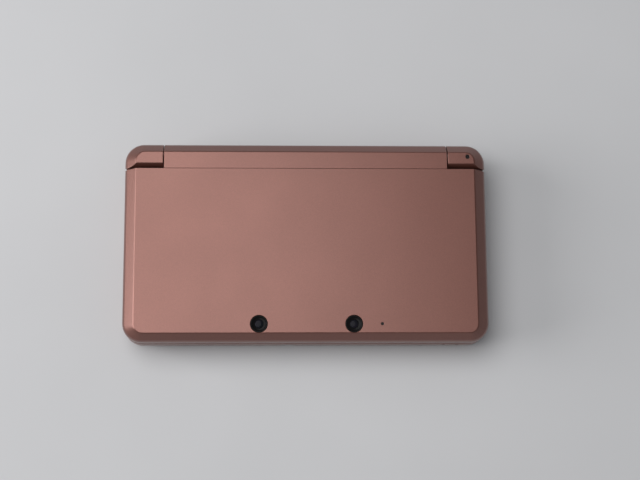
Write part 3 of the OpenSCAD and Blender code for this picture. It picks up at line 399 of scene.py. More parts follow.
hairlines, have, out = effect("hairlines", {"Scale": 60.0, "Amount": 0.5}, "Mask")
lines = None
for turn in HAIR_TURNS:
    stretched = add(hairlines, "ShaderNodeMapping",
                    {"Vector": have["Place"], "Rotation": (0, 0, turn), "Scale": (0.06, 1.0, 1.0)})
    streak = add(hairlines, "ShaderNodeTexNoise",
                 {"Vector": stretched.outputs[0], "Scale": have["Scale"], "Detail": 6.0,
                  "Roughness": 0.75})
    band = add(hairlines, "ShaderNodeMapRange",
               {"Value": streak.outputs["Fac"], "From Min": HAIR_CREST[0],
                "From Max": HAIR_CREST[1]})
    layer = band.outputs[0]
    lines = layer if lines is None else add(hairlines, "ShaderNodeMath", {0: lines, 1: layer},
                                            operation="MAXIMUM").outputs[0]
scaled = add(hairlines, "ShaderNodeMath", {0: lines, 1: have["Amount"]}, operation="MULTIPLY")
hairlines.links.new(scaled.outputs[0], out)
print("effects:", *[group.name for group in bpy.data.node_groups])

# %% [markdown]
# ## Finishes
# Every material mixes two close colours by slow clouds, and lets an effect change its roughness
# or its bump. Metal, coat and similar values are the same all over, so they are set on the shader
# itself. One function builds them all, and a finish is then a short row of numbers.

# %% Building a finish
COLOUR_A, COLOUR_B, COLOUR_OUT = 6, 7, 2  # the colour sockets of a Mix node


def finish(name, deep, pale, rough, drift, hair=None, grained=None, painted_glint=0, **shader):
    """A material that drifts from a deep to a pale colour, with roughness between two values.
    Hairlines are given by their amount and scale, grain by its scale and its depth in mm."""
    material = bpy.data.materials.new(name)
    material.use_nodes = True
    tree = material.node_tree
    surface = tree.nodes["Principled BSDF"]
    place = add(tree, "ShaderNodeTexCoord").outputs["Object"]

    cloud = use(tree, clouds, Place=place, Scale=drift, Softness=0.22)
    mixed = {"Factor": cloud, COLOUR_A: (*deep, 1), COLOUR_B: (*pale, 1)}
    colour = add(tree, "ShaderNodeMix", mixed, data_type="RGBA").outputs[COLOUR_OUT]
    # painted glint: the flake cells make the colour brighter or darker by up to this share, standing
    # in for flakes catching the light
    if painted_glint:
        glint = use(tree, flake, Place=place, Scale=6500.0)
        value = add(tree, "ShaderNodeMapRange",
                    {"Value": glint, "To Min": 1 - painted_glint, "To Max": 1 + painted_glint})
        colour = add(tree, "ShaderNodeHueSaturation",
                     {"Color": colour, "Value": value.outputs[0]}).outputs[0]
    tree.links.new(colour, surface.inputs["Base Color"])

    smear = use(tree, clouds, Place=place, Scale=drift * 3.1, Softness=0.3)
    if hair:
        marks = use(tree, hairlines, Place=place, Amount=hair[0], Scale=hair[1])
        smear = add(tree, "ShaderNodeMath", {0: smear, 1: marks}, operation="ADD",
                    use_clamp=True).outputs[0]
    roughness = add(tree, "ShaderNodeMapRange",
                    {"Value": smear, "To Min": rough[0], "To Max": rough[1]})
    tree.links.new(roughness.outputs[0], surface.inputs["Roughness"])

    if grained:
        height = use(tree, grain, Place=place, Scale=grained[0])
        bump = add(tree, "ShaderNodeBump",
                   {"Height": height, "Distance": grained[1] * MM, "Strength": 1.0})
        tree.links.new(bump.outputs[0], surface.inputs["Normal"])
    for key, value in shader.items():
        label = key.replace("_", " ").title().replace("Ior", "IOR")
        surface.inputs[label].default_value = value
    return material


# %% [markdown]
# The casings carry a pearl paint: a rose colour that drifts a little over the lid, tiny flakes
# whose glint is painted into the colour as brighter and darker specks, and a clear coat. The keys
# have the same paint with less flake and a weaker painted glint, and the battery cover, shoulder
# buttons and knobs a deeper one.

# %% Pearl paints
finishes = {}
finishes["pink_shell"] = finish("pearl_pink_paint", (0.178, 0.067, 0.050), (0.192, 0.075, 0.056),
    (0.33, 0.40), drift=14, hair=(0.35, 60), painted_glint=0.10, grained=(5200, 0.0035),
    metallic=0.60, coat_weight=0.5, coat_roughness=0.30)
finishes["pink_keys"] = finish("rose_key_paint", (0.195, 0.084, 0.066), (0.220, 0.098, 0.078),
    (0.24, 0.34), drift=60, painted_glint=0.05, metallic=0.40, coat_weight=0.45, coat_roughness=0.08)
finishes["dark_pink"] = finish("deep_rose_paint", (0.150, 0.058, 0.052), (0.185, 0.078, 0.070),
    (0.34, 0.46), drift=25, hair=(0.25, 60), grained=(5200, 0.004), metallic=0.35,
    coat_weight=0.20, coat_roughness=0.15)
print("paints:", *finishes)

# %% [markdown]
# The screens and the dark panel are nearly black with a clear coat, and moulded black and rubber
# are dull and grainy. The small lenses and the light window hardly mirror anything, or they would
# shine in the lamp.

# %% Blacks, glass and rubber
finishes["black_gloss"] = finish("piano_black", (0.006, 0.006, 0.008), (0.011, 0.011, 0.013),
    (0.05, 0.16), drift=30, hair=(0.5, 90), coat_weight=0.6, coat_roughness=0.03)
finishes["black_matt"] = finish("moulded_black", (0.013, 0.013, 0.014), (0.022, 0.021, 0.022),
    (0.48, 0.62), drift=80, grained=(4200, 0.02))
finishes["grey_rubber"] = finish("grey_rubber", (0.030, 0.029, 0.031), (0.048, 0.046, 0.048),
    (0.66, 0.82), drift=120, grained=(6000, 0.02))
finishes["screen_glass"] = finish("dark_display_glass", (0.010, 0.011, 0.014),
    (0.015, 0.017, 0.021), (0.04, 0.14), drift=22, hair=(0.3, 120), coat_weight=0.8,
    coat_roughness=0.02)
finishes["clear_plastic"] = finish("smoky_light_pipe", (0.012, 0.010, 0.010),
    (0.024, 0.020, 0.020), (0.15, 0.30), drift=200, specular_ior_level=0.12)
lens_coating = finish("coated_lens", (0.008, 0.010, 0.012), (0.016, 0.013, 0.020), (0.06, 0.12),
    drift=300, specular_ior_level=0.05)
lens_ring_black = finish("lens_ring_black", (0.005, 0.005, 0.005), (0.010, 0.009, 0.009),
    (0.16, 0.26), drift=160, grained=(5000, 0.002), specular_ior_level=0.07)
print("finishes so far:", *finishes)

# %% [markdown]
# Bare steel, gold and the silver paint are metals, so their colour is what they mirror. The
# board, the film between the displays and the card are coloured plastics.

# %% Metals and inner parts
finishes["bare_steel"] = finish("bare_steel", (0.36, 0.36, 0.37), (0.47, 0.47, 0.48), (0.26, 0.40),
    drift=70, hair=(0.5, 150), metallic=1)
finishes["satin_grey"] = finish("satin_silver", (0.36, 0.35, 0.36), (0.44, 0.43, 0.44),
    (0.32, 0.44), drift=90, grained=(5000, 0.006), metallic=0.6)
# Near-black steel used as painted shade on the pad's carriage, so that the crescent beside the pad
# looks shaded.
painted_shade_steel = finish("painted_shade_steel", (0.010, 0.010, 0.011), (0.018, 0.018, 0.019),
    (0.42, 0.54), drift=80, grained=(5000, 0.004), metallic=0.3)
finishes["pad_grey"] = finish("soft_rose_pad", (0.150, 0.110, 0.108), (0.190, 0.142, 0.140),
    (0.46, 0.60), drift=70, grained=(5500, 0.015))
finishes["gold_contacts"] = finish("gold_plate", (0.62, 0.40, 0.13), (0.72, 0.50, 0.20),
    (0.20, 0.32), drift=200, metallic=1)
finishes["board_green"] = finish("green_laminate", (0.006, 0.055, 0.024), (0.012, 0.085, 0.040),
    (0.30, 0.42), drift=150, coat_weight=0.3, coat_roughness=0.2)
finishes["amber_film"] = finish("amber_film", (0.42, 0.13, 0.012), (0.52, 0.18, 0.025),
    (0.25, 0.35), drift=150)
finishes["card_blue"] = finish("blue_card", (0.010, 0.018, 0.052), (0.016, 0.026, 0.068),
    (0.40, 0.52), drift=90, grained=(4500, 0.01))
print("all finishes:", *finishes)

# %% [markdown]
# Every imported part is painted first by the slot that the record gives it, so that the inner parts,
# which keep their own shape, are finished too.

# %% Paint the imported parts
for part in frame["record"]["subparts"]:
    packed = nodes[part["node"]]
    packed.data.materials.clear()
    packed.data.materials.append(finishes[part["material_slot"]])
print("painted", len(nodes), "packed parts in", len(finishes), "finishes")

# %% [markdown]
# ## Table
# A plain pale sheet with a slight unevenness, much larger than the view. It's quite dull, because
# a gloss would mirror the low lamp as a bright spot.

# %% Table
table_paint = finish("pale_table", (0.60, 0.60, 0.61), (0.64, 0.64, 0.65), (0.90, 1), drift=9,
    specular_ior_level=0)
clear_selection()
bpy.ops.mesh.primitive_plane_add(size=3)
table = settle(bpy.context.active_object, "table")
table.data.materials.append(table_paint)
table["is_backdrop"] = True
print("table:", [round(v, 2) for v in table.dimensions], "m")

# %% [markdown]
# ## The lid's outer form
# Seen from above the lid is a rectangle with round corners. Its side rises upright, leans over in
# a tight curve, runs up a straight slope and rounds over into the flat top. The slope is 4.75 mm
# wide at the sides, 3 mm at the front and 4 mm at the hinge. The lid cover, the inner casing, the
# hinge barrel and both hinge caps are slices of this one form, so one function draws it: the top
# face of a rounded block is inset, lifted and fitted to its new size, step by step.

# %% Sloping block
HALF_X, HALF_Y, CORNER = 67, 37, 7  # the console's outline from its middle
LID_TOP = 21
SLOPE_FOOT, SLOPE_RISE = 15.4, 5.6  # height where the side starts to lean, and its rise
SLOPE_X = 4.75  # width of the slope at the sides
SLOPE_Y, SLOPE_SHIFT = 3.5, 0.5  # mean of front and hinge edge, and half their difference
SLOPE_INSET = 4  # the insets of all steps together
SLOPE = [(0, 0), (0.008, 0.075), (0.03, 0.14), (0.065, 0.22), (0.11, 0.29), (0.16, 0.36),
         (0.22, 0.42), (0.86, 0.93), (0.90, 0.958), (0.94, 0.98), (0.97, 0.993), (1, 1)]


def sloping_block(name, z0, draw_in=0.0, eased=0.0):
    """The outside of the lid from height z0 up, drawn in evenly, with an eased lower edge if wanted.
    """
    half_x, half_y, foot = HALF_X - draw_in, HALF_Y - draw_in, SLOPE_FOOT - draw_in
    piece = tablet(name, (-half_x, -half_y, z0), (half_x, half_y, foot), CORNER - draw_in,
                   steps=10)
    pick(piece, "FACE", at(Z, foot))
    for (in0, up0), (in1, up1) in zip(SLOPE, SLOPE[1:]):
        inset = SLOPE_INSET * (in1 - in0)
        bpy.ops.mesh.inset(thickness=inset * MM, depth=0)
        lift = Vector((0, -SLOPE_SHIFT * (in1 - in0), SLOPE_RISE * (up1 - up0))) * MM
        bpy.ops.transform.translate(value=lift)
        fit_x = (half_x - SLOPE_X * in1) / (half_x - SLOPE_X * in0 - inset)
        fit_y = (half_y - SLOPE_Y * in1) / (half_y - SLOPE_Y * in0 - inset)
        middle = Vector((0, -SLOPE_SHIFT * in1, foot + SLOPE_RISE * up1)) * MM
        bpy.ops.transform.resize(value=(fit_x, fit_y, 1), center_override=middle)
    if eased:
        ease(piece, eased, at(Z, z0), steps=4)
    clear_selection()
    return piece


print("slope in", len(SLOPE) - 1, "steps")

# %% [markdown]
# ## Lid cover
# The cover is the upper shell of the lid, from the seam around its sides to the seam in front of
# the hinge, with holes for the two camera windows and a small light. Its hollow is the same form
# drawn in by the wall, so the wall has one thickness everywhere.

# %% Lid cover
WALL = 1.4
COVER_BACK, HOLLOW_BACK = 26.9, 25.5  # the seam in front of the hinge, and the wall before it
COVER_FOOT = 14.2  # the seam around the sides
LENS_X, LENS_Y = 17.25, -30.9  # middle of the right lens
SIGNAL_X = 27.5  # the light that shows that the cameras are on

lid_cover = sloping_block("lid_cover_shell", 13.0)
sliced(lid_cover, (0, COVER_BACK, 0), (0, -1, 0))
sliced(lid_cover, (0, 0, COVER_FOOT), (0, 0, 1))
hollow = sloping_block("hollow", 12.0, draw_in=WALL)
sliced(hollow, (0, HOLLOW_BACK, 0), (0, -1, 0))
combine(lid_cover, hollow)
windows = joined("windows", post("hole", -LENS_X, LENS_Y, 17, 23, 3.2),
                 post("hole", LENS_X, LENS_Y, 17, 23, 3.2),
                 post("hole", SIGNAL_X, LENS_Y, 17, 23, 0.55, 24))
combine(lid_cover, windows)
ease(lid_cover, 0.09, at(Y, COVER_BACK))
ease(lid_cover, 0.16, at(Z, COVER_FOOT))
ease(lid_cover, 0.14, at(Z, LID_TOP))
dress(lid_cover, "lid", "pink_shell", "lid_cover")

# %% [markdown]
# ## Inner casing of the lid with the hinge barrel
# The lower shell carries the dark panel in a shallow recess and has windows for the picture, the
# speakers, the inner camera and the depth slider. The hinge barrel, between the two caps, belongs
# to it: its back is round about the hinge axis, so that it can turn clear of the base. For this a
# slice of the lid's form is kept only where it lies in a drum about that axis or in a block.

# %% Rounded slices at the hinge
HINGE_Y, HINGE_Z = 32.6, 17.4


def hinge_slice(name, x0, x1, radius, foot_y, foot_z0, foot_z1, z0):
    """A length of the lid's form, round behind the hinge axis, with a block before or below it."""
    form = sloping_block(name, z0)
    sliced(form, (x0, 0, 0), (1, 0, 0))
    sliced(form, (x1, 0, 0), (-1, 0, 0))
    around = drum("around", ((x0 + x1) / 2, HINGE_Y, HINGE_Z), radius, x1 - x0 + 4, ALONG_X, 144)
    foot = box("foot", (x0 - 2, foot_y[0], foot_z0), (x1 + 2, foot_y[1], foot_z1))
    combine(around, foot, "UNION")
    return combine(form, around, "INTERSECT")


# %% Casing with its barrel
CASING_FOOT, CASING_TOP = 12, 14.15  # its lower face, and the seam under the cover
BARREL_X, BARREL_FRONT = 52.4, 26.95

casing = sloping_block("lid_inner_casing", 12.0, eased=0.6)
sliced(casing, (0, COVER_BACK, 0), (0, -1, 0))
sliced(casing, (0, 0, CASING_TOP), (0, 0, -1))
hollow = sloping_block("hollow", 13.5, draw_in=WALL)
sliced(hollow, (0, HOLLOW_BACK, 0), (0, -1, 0))
combine(casing, hollow)
barrel = hinge_slice("barrel", -BARREL_X, BARREL_X, 5.5, (20, HINGE_Y), 10, 23, 12.0)
sliced(barrel, (0, BARREL_FRONT, 0), (0, 1, 0))
ease(barrel, 0.09, at(Y, BARREL_FRONT))
ease(barrel, 0.18, at(X, BARREL_X, -BARREL_X))
bores = joined("bores", drum("bore", (-47, HINGE_Y, HINGE_Z), 2.35, 14, ALONG_X),
               drum("bore", (47, HINGE_Y, HINGE_Z), 2.32, 14, ALONG_X))
combine(barrel, bores)
web = box("web", (-BARREL_X, HOLLOW_BACK, CASING_FOOT), (BARREL_X, 27.4, CASING_TOP))
combine(barrel, web, "UNION")
combine(casing, barrel, "UNION")
print("casing with barrel:", len(casing.data.polygons), "faces")

# %% Recess and windows of the inner casing
LID_SCREWS = [(x, y) for x in (-63.6, 63.6) for y in (-30.5, 22.4)]
INNER_EYE = (0, -31.5)

combine(casing, tablet("recess", (-61.05, -33.85, 11), (61.05, 24.55, 12.8), 3))
combine(casing, tablet("picture", (-38.9, -26.95, 11), (38.9, 20.15, 14.5), 1))
sides = joined("sides", tablet("grille", (44.9, -9.4, 11), (53.9, 2.6, 14.5), 2),
               tablet("grille", (-53.9, -9.4, 11), (-44.9, 2.6, 14.5), 2),
               post("eye", *INNER_EYE, 11, 14.5, 2.3),
               tablet("slider_slot", (62.45, -17.25, 11), (65.35, -2.75, 14.5), 1.25))
combine(casing, sides)
combine(casing, joined("plugs", *[post("plug", x, y, 11, 13.3, 1.75, 40) for x, y in LID_SCREWS]))
ease(casing, 0.12, at(Z, CASING_FOOT))
dress(casing, "lid", "pink_shell", "lid_frame")

# %% [markdown]
# ## Hinge caps
# A cap closes each end of the barrel. It stands on the base and doesn't turn, and its outside
# continues the lid's, so it's cut from the same form and mirrored. The left one holds the trunnion
# that the lid turns on, and the right one has a small window for the notification light.

# %% Hinge caps
CAP_X, CAP_FOOT = 52.7, 11.05

cap_right = hinge_slice("hinge_cap_cover_right", CAP_X, 70, 5.1, (28.5, 40), 9, HINGE_Z, CAP_FOOT)
ease(cap_right, 0.22, lambda e: at(X, CAP_X)(e) or at(Z, CAP_FOOT)(e), steps=3)
cap_left = mirrored(cap_right, "hinge_cap_cover_left")
combine(cap_left, drum("trunnion", (-48.2, HINGE_Y, HINGE_Z), 2.3, 10, ALONG_X), "UNION")
combine(cap_right, post("light_hole", 60.1, 31.6, 17.6, 23, 0.8, 32))
ease(cap_right, 0.12, at(Z, LID_TOP))
dress(cap_left, "base", "pink_shell", "hinge_cap_left")
dress(cap_right, "base", "pink_shell", "hinge_cap_right")

# %% [markdown]
# ## Camera windows
# Each outer camera sits behind a round black window: a polished ring with a rounded lip, a shallow
# funnel and, in the middle, a small coated lens. The inner camera has the same build but looks
# down on the deck while the lid is shut. Each profile is drawn once, as shares of a radius.

# %% Camera windows
RING = [(1.0, -0.70), (1.0, -0.12), (0.985, -0.05), (0.955, -0.01), (0.91, 0.0), (0.86, -0.03),
        (0.80, -0.14), (0.70, -0.25), (0.58, -0.27), (0.54, -0.30), (0.50, -0.36), (0.49, -0.50)]
LENS = [(1.0, -0.49), (1.0, -0.30), (0.94, -0.21), (0.80, -0.15), (0.60, -0.11), (0.35, -0.085),
        (0.1, -0.08)]


def camera_eye(name, x, y, z, facing, radius, lens_radius):
    """A ring and a lens with their front at height z, facing upwards (1) or downwards (-1)."""
    ring = turned(name + "_ring", x, y, [(radius * r, z + facing * h) for r, h in RING])
    lens = turned(name + "_lens", x, y, [(lens_radius * r, z + facing * h) for r, h in LENS], 48)
    return ring, lens


for side, x in (("left", -LENS_X), ("right", LENS_X)):
    ring, lens = camera_eye("outer_camera_" + side, x, LENS_Y, 20.75, 1, 3.15, 1.5)
    dress(ring, "lid", "black_gloss", "camera_windows", material=lens_ring_black)
    dress(lens, "lid", "black_gloss", "camera_windows", material=lens_coating)
ring, lens = camera_eye("inner_camera", *INNER_EYE, 12.1, -1, 1.7, 0.8)
mount = tablet("inner_camera_mount", (-3, -33.5, 13.55), (3, -28.5, 14.9), 0.6)
ring = joined("inner_camera_ring", ring, mount)
dress(ring, "lid", "black_matt", "inner_camera", material=finishes["black_gloss"])
dress(lens, "lid", "black_matt", "inner_camera", material=lens_coating)

# %% [markdown]
# ## Dark panel, picture window and speaker holes
# When the lid opens, its inside shows a glossy black panel with a window over the picture, six
# small speaker holes on each side and the inner camera above. The window sits flush in the panel.

# %% Dark panel
PANEL_FACE = 12.05  # the side that shows when the lid is open, a little inside the casing

panel = tablet("upper_dark_panel", (-61, -33.8, PANEL_FACE), (61, 24.5, 12.8), 3, steps=8)
combine(panel, tablet("picture", (-38.6, -26.65, 11), (38.6, 19.85, 14), 1))
holes = joined("holes", post("eye", *INNER_EYE, 11, 14, 1.75, 48),
               *[post("hole", sx * 49.4 + 1.6 * i, -3.4 + 3.2 * j, 11, 14, 0.7, 32)
                 for sx in (-1, 1) for i in (-1, 1) for j in (-1, 0, 1)])
combine(panel, holes)
ease(panel, 0.12, at(Z, PANEL_FACE))
dress(panel, "lid", "black_gloss", "display_bezel")
glass = tablet("upper_picture_window", (-38.5, -26.55, PANEL_FACE), (38.5, 19.75, 12.8), 0.9)
ease(glass, 0.1, at(Z, PANEL_FACE))
dress(glass, "lid", "screen_glass", "display_lens")

# %% [markdown]
# ## Small parts of the lid
# Rubber bumpers keep the shut lid off the deck, and round caps hide the lid's screws. Both are
# turned, at four places each. A knob beside the picture sets its depth: a rounded block with five
# cuts across it, on a plate that slides inside the lid.

# %% Bumpers and screw caps
bumper = [(1.3, 11.98), (1.3, 11.32), (1.22, 11.18), (1.05, 11.11), (0.8, 11.1), (0.3, 11.1)]
bumpers = [turned("bumper", x, y, bumper, 40) for x in (-64, 64) for y in (-24.5, 16.9)]
dress(joined("lid_bumpers", *bumpers), "lid", "grey_rubber", "lid_bumpers")
cap = [(1.7, 12.55), (1.7, 12.16), (1.64, 12.09), (1.55, 12.05), (1.1, 12.05), (1.0, 12.1),
       (0.3, 12.1)]
screw_caps = joined("lid_screw_caps", *[turned("cap", x, y, cap, 40) for x, y in LID_SCREWS])
dress(screw_caps, "lid", "grey_rubber", "screw_caps")

# %% Depth knob
knob = tablet("depth_knob", (62.7, -13, 11.65), (65.1, -7, 13.5), 1.0)
ease(knob, 0.2, at(Z, 11.65), steps=3)
cuts = [box("cut", (61, -10 + 0.9 * i - 0.15, 11), (67, -10 + 0.9 * i + 0.15, 11.85))
        for i in range(-2, 3)]
combine(knob, joined("cuts", *cuts))
plate = tablet("knob_plate", (62.9, -13.5, 13.55), (64.9, -6.5, 14.1), 0.4)
knob = joined("depth_knob", knob, plate)
dress(knob, "depth_slider_part", "satin_grey", "depth_slider")

# %% [markdown]
# ## Deck
# The deck is the upper casing of the base: a shallow rounded shell with openings for the touch
# screen, the pad, the cross, four buttons, three keys and the power button. It's drawn as a block
# with round corners and a rounded rim, hollowed from below and then pierced. All its sharp upper
# edges are eased, because moulded holes have a small radius.

# %% Deck shell
DECK_TOP, BASE_SEAM = 11, 7.4
PAD_X, PAD_Y = -48.5, 9.5
CROSS_X, CROSS_Y = -48.5, -17.5
ACTION_X, ACTION_Y, ACTION_STEP = 48.5, 8, 7.9  # middle of the action buttons, and their distance
POWER_X, POWER_Y = 48.5, -26

deck = tablet("deck_casing", (-HALF_X, -HALF_Y, BASE_SEAM), (HALF_X, HALF_Y, DECK_TOP), CORNER,
              edge=0.7, steps=10)
combine(deck, tablet("hollow", (-65.6, -35.6, 6), (65.6, 35.6, 9.6), 5.6, steps=10))
cross_hole = tablet("cross_hole", (-58.45, -21.15, 9), (-38.55, -13.85, 12), 1.45)
combine(cross_hole, tablet("arm", (-52.15, -27.45, 9), (-44.85, -7.55, 12), 1.45), "UNION")
openings = [tablet("touch_hole", (-33.75, -28.3, 9), (33.75, 23.9, 12), 1.5),
            post("pad_hole", PAD_X, PAD_Y, 9, 12, 11.48, 96),
            cross_hole,
            tablet("key_hole", (-31.8, -34.35, 9), (31.8, -29.85, 12), 1.2),
            post("power_hole", POWER_X, POWER_Y, 9, 12, 2.85),
            post("microphone_hole", 34.8, -32.1, 9, 12, 0.5, 24)]
for dx, dy in ((1, 0), (-1, 0), (0, 1), (0, -1)):
    x, y = ACTION_X + ACTION_STEP * dx, ACTION_Y + ACTION_STEP * dy
    openings.append(post("button_hole", x, y, 9, 12, 3.95))
combine(deck, joined("openings", *openings))
ease(deck, 0.16, at(Z, DECK_TOP))
print("openings in the deck:", len(openings))

# %% [markdown]
# The rim has a groove for each side knob, small holes for the lights and the headphone plug, and
# a pocket at each hinge corner for a shoulder button. The tub below has the same two pockets.

# %% Cuts in the deck's rim
JACK_X, JACK_Z, JACK_R = -7, 5.3, 2.65


def groove(x, y, length):
    """A shallow groove in the rim and a slot through the wall for the knob's stem."""
    outer = box("groove", (x - 1, y - length / 2, 7.7), (x + 1, y + length / 2, 9.7))
    slot = box("slot", (x - 3, y + 1 - length / 2, 8.3), (x + 3, y - 1 + length / 2, 9.1))
    return outer, slot


def shoulder_pocket(side):
    """The room of a shoulder button on the left (-1) or the right (1)."""
    inner, outer = sorted((43.55 * side, 70 * side))
    return box("pocket", (inner, 28.2, 3.25), (outer, 39, 9.55))


for x, y, length in ((-HALF_X, 15, 14.5), (HALF_X, 10, 8.5)):
    for cut in groove(x, y, length):
        combine(deck, cut)
rim_holes = [drum("hole", (51, -36, 8.7), 0.65, 4, ALONG_Y, 24),
             drum("hole", (56, -36, 8.7), 0.65, 4, ALONG_Y, 24),
             drum("hole", (66, 2, 8.7), 0.65, 4, ALONG_X, 24),
             drum("jack_hole", (JACK_X, -36, JACK_Z), JACK_R, 4, ALONG_Y)]
combine(deck, joined("rim_holes", *rim_holes))
for side in (-1, 1):
    combine(deck, shoulder_pocket(side))
ease(deck, 0.1, at(Z, BASE_SEAM))
dress(deck, "base", "pink_shell", "base_deck")

# %% [markdown]
# ## Tub
# The lower casing curves in from a line 6.6 mm above the table to a flat bottom 4.4 mm inside the
# outline. The block is drawn in from below, one step of the curve at a time, and hollowed with a
# smaller copy of itself. Then come the recess for the battery cover and the sockets in the walls.

# %% Curved base block
CURVE_TOP, CURVE_DROP, CURVE_IN = 6.6, 6.1, 4.4
CURVE_TURN = radians(66)  # how much of a quarter circle the side runs through


def tub_in(z):
    """How far the side of the tub has curved in at height z."""
    share = max(0.0, (CURVE_TOP - z) / CURVE_DROP) * sin(CURVE_TURN)
    return CURVE_IN * (1 - (1 - share * share) ** 0.5) / (1 - cos(CURVE_TURN))


def curved_block(name, draw_in, low, high, steps=14):
    """The outside of the base between two heights, drawn in evenly."""
    levels = [CURVE_TOP + (low - CURVE_TOP) * sin(pi / 2 * i / steps) for i in range(1, steps + 1)]
    half_x, half_y = HALF_X - draw_in, HALF_Y - draw_in
    piece = tablet(name, (-half_x, -half_y, levels[0]), (half_x, half_y, high), CORNER - draw_in,
                   steps=10)
    pick(piece, "FACE", at(Z, levels[0]))
    before = 0.0
    for upper, lower in zip(levels, levels[1:]):
        inset = tub_in(lower) - before
        bpy.ops.mesh.inset(thickness=inset * MM, depth=(upper - lower) * MM)
        before = tub_in(lower)
    clear_selection()
    return piece


print("at the bottom the side has come in by", round(tub_in(0.5), 2), "mm")

# %% Tub shell
BASE_FOOT = 0.5  # the feet lift the base off the table by this much
STYLUS_X, STYLUS_Z = -30.5, 4.5

tub = curved_block("tub_casing", 0, BASE_FOOT, BASE_SEAM)
combine(tub, curved_block("hollow", WALL, 2.6, 9))
floors = curved_block("pocket_floors", 0.3, BASE_FOOT, BASE_SEAM)
corners = joined("corners", box("corner", (42.75, 27.4, 2.4), (68, 38, 3.25)),
                 box("corner", (-68, 27.4, 2.4), (-42.75, 38, 3.25)))
combine(floors, corners, "INTERSECT")
combine(tub, floors, "UNION")
combine(tub, tablet("cover_recess", (-61.15, -31.15, -1), (61.15, 31.15, 1.6), 1.15))
combine(tub, box("battery_room", (12.2, -31.3, 0.5), (53.8, 25.3, 6.45)))
combine(tub, drum("stylus_bore", (STYLUS_X, 4, STYLUS_Z), 2.15, 67, ALONG_Y))
for side in (-1, 1):
    combine(tub, shoulder_pocket(side))
print("tub:", len(tub.data.polygons), "faces")

# %% Sockets in the tub's walls
MOUTHS = {"game_card": (-24.9, 8.9, 2.95, 9), "power": (19.7, 28.3, 3.05, 9),
          "left_contact": (15.45, 17.95, 4.15, 6.25), "right_contact": (30.05, 32.55, 4.15, 6.25),
          "infrared": (33.65, 41.35, 3.35, 7.05)}  # each from x to x and from z to z

sockets = [box(name, (x0, 34.2, z0), (x1, 38, z1)) for name, (x0, x1, z0, z1) in MOUTHS.items()]
sockets.append(drum("jack", (JACK_X, -36, JACK_Z), JACK_R, 6, ALONG_Y))
combine(tub, joined("sockets", *sockets))
combine(tub, box("hatch", (-69, -21.2, 2.8), (-64.6, 6.2, 6.5)))
ease(tub, 0.1, at(Z, BASE_SEAM, BASE_FOOT))
dress(tub, "base", "pink_shell", "base_tub")

# %% [markdown]
# ## Battery cover and feet
# The battery cover is one deep rose plate with eased edges, holes for its two captive screws and
# shallow seats for the rubber feet. A foot is a turned disc with a rounded rim.

# %% Battery cover and feet
FEET = [(x, y) for x in (-55, 55) for y in (-27.4, 27.4)]
COVER_SCREWS = [(-56, -22.2), (56, -22.2)]

door = tablet("battery_door", (-61, -31, BASE_FOOT), (61, 31, 1.55), 1.0, steps=5)
ease(door, 0.4, at(Z, BASE_FOOT), steps=3)
seats = [post("seat", x, y, -1, 0.8, 2.68, 48) for x, y in FEET]
seats += [post("screw_head", x, y, -1, 1.1, 1.7, 48) for x, y in COVER_SCREWS]
seats += [post("screw_hole", x, y, -1, 3, 0.85, 32) for x, y in COVER_SCREWS]
for seat in seats:
    combine(door, seat)
ease(door, 0.12, at(Z, BASE_FOOT), angle=60)
dress(door, "base", "dark_pink", "battery_cover")
foot = [(2.6, 0.8), (2.6, 0.28), (2.52, 0.12), (2.35, 0.03), (2.1, 0.0), (1.2, 0.0), (0.4, 0.0)]
feet = joined("rubber_feet_dressed", *[turned("foot", x, y, foot, 48) for x, y in FEET])
dress(feet, "base", "grey_rubber", "rubber_feet")

# %% [markdown]
# ## Shoulder buttons
# The shoulder buttons continue the curve of the base, so each is cut from the base's own block,
# hollowed like a shell and given a generous radius. A button swings on an upright pin at its
# inner end. The left one is a mirrored copy.

# %% Shoulder buttons
SHOULDER_X, SHOULDER_Y = 44, 29.8  # the planes that bound the right one
SHOULDER_FOOT, SHOULDER_TOP = 3.5, 9.3

shoulder = curved_block("shoulder_key_right", 0.1, 0.5, 10.3)
for point, inside in (((SHOULDER_X, 0, 0), (1, 0, 0)), ((0, SHOULDER_Y, 0), (0, 1, 0)),
                      ((0, 0, SHOULDER_FOOT), (0, 0, 1)), ((0, 0, SHOULDER_TOP), (0, 0, -1))):
    sliced(shoulder, point, inside)
combine(shoulder, tablet("hollow", (-64.2, -34.2, 4.5), (64.2, 34.2, 8.3), 4.2, steps=8))
combine(shoulder, post("pin_hole", 45.8, 33, 0, 12, 0.85, 32))


def on_outer_rim(edge):
    """Edges of the button's outer face, but not of its hollow."""
    rim = at(Z, SHOULDER_FOOT, SHOULDER_TOP)(edge) or at(X, SHOULDER_X)(edge)
    return rim and all(v.co.y > 34.3 * MM or v.co.x > 64.3 * MM for v in edge.verts)


ease(shoulder, 0.45, on_outer_rim, steps=3, angle=30)
shoulder_left = mirrored(shoulder, "shoulder_key_left")
dress(shoulder, "shoulder_right_part", "dark_pink", "shoulder_right")
dress(shoulder_left, "shoulder_left_part", "dark_pink", "shoulder_left")

# %% [markdown]
# ## Touch screen
# The touch screen lies in a glossy black surround a little below the deck. Both are plates with
# round corners, and the surround's edges are eased, so that a thin line of light runs around them.

# %% Touch screen
SURROUND_TOP = 10.9

surround = tablet("touch_surround", (-33.7, -28.25, 9.6), (33.7, 23.85, SURROUND_TOP), 1.5)
combine(surround, tablet("opening", (-31.2, -25.75, 9), (31.2, 21.35, 12), 0.6))
ease(surround, 0.2, at(Z, SURROUND_TOP), steps=3)
dress(surround, "base", "black_gloss", "touch_frame")
touch = tablet("touch_window", (-31.1, -25.65, 9.6), (31.1, 21.25, 10.65), 0.6, edge=0.1)
dress(touch, "base", "screen_glass", "touch_glass")
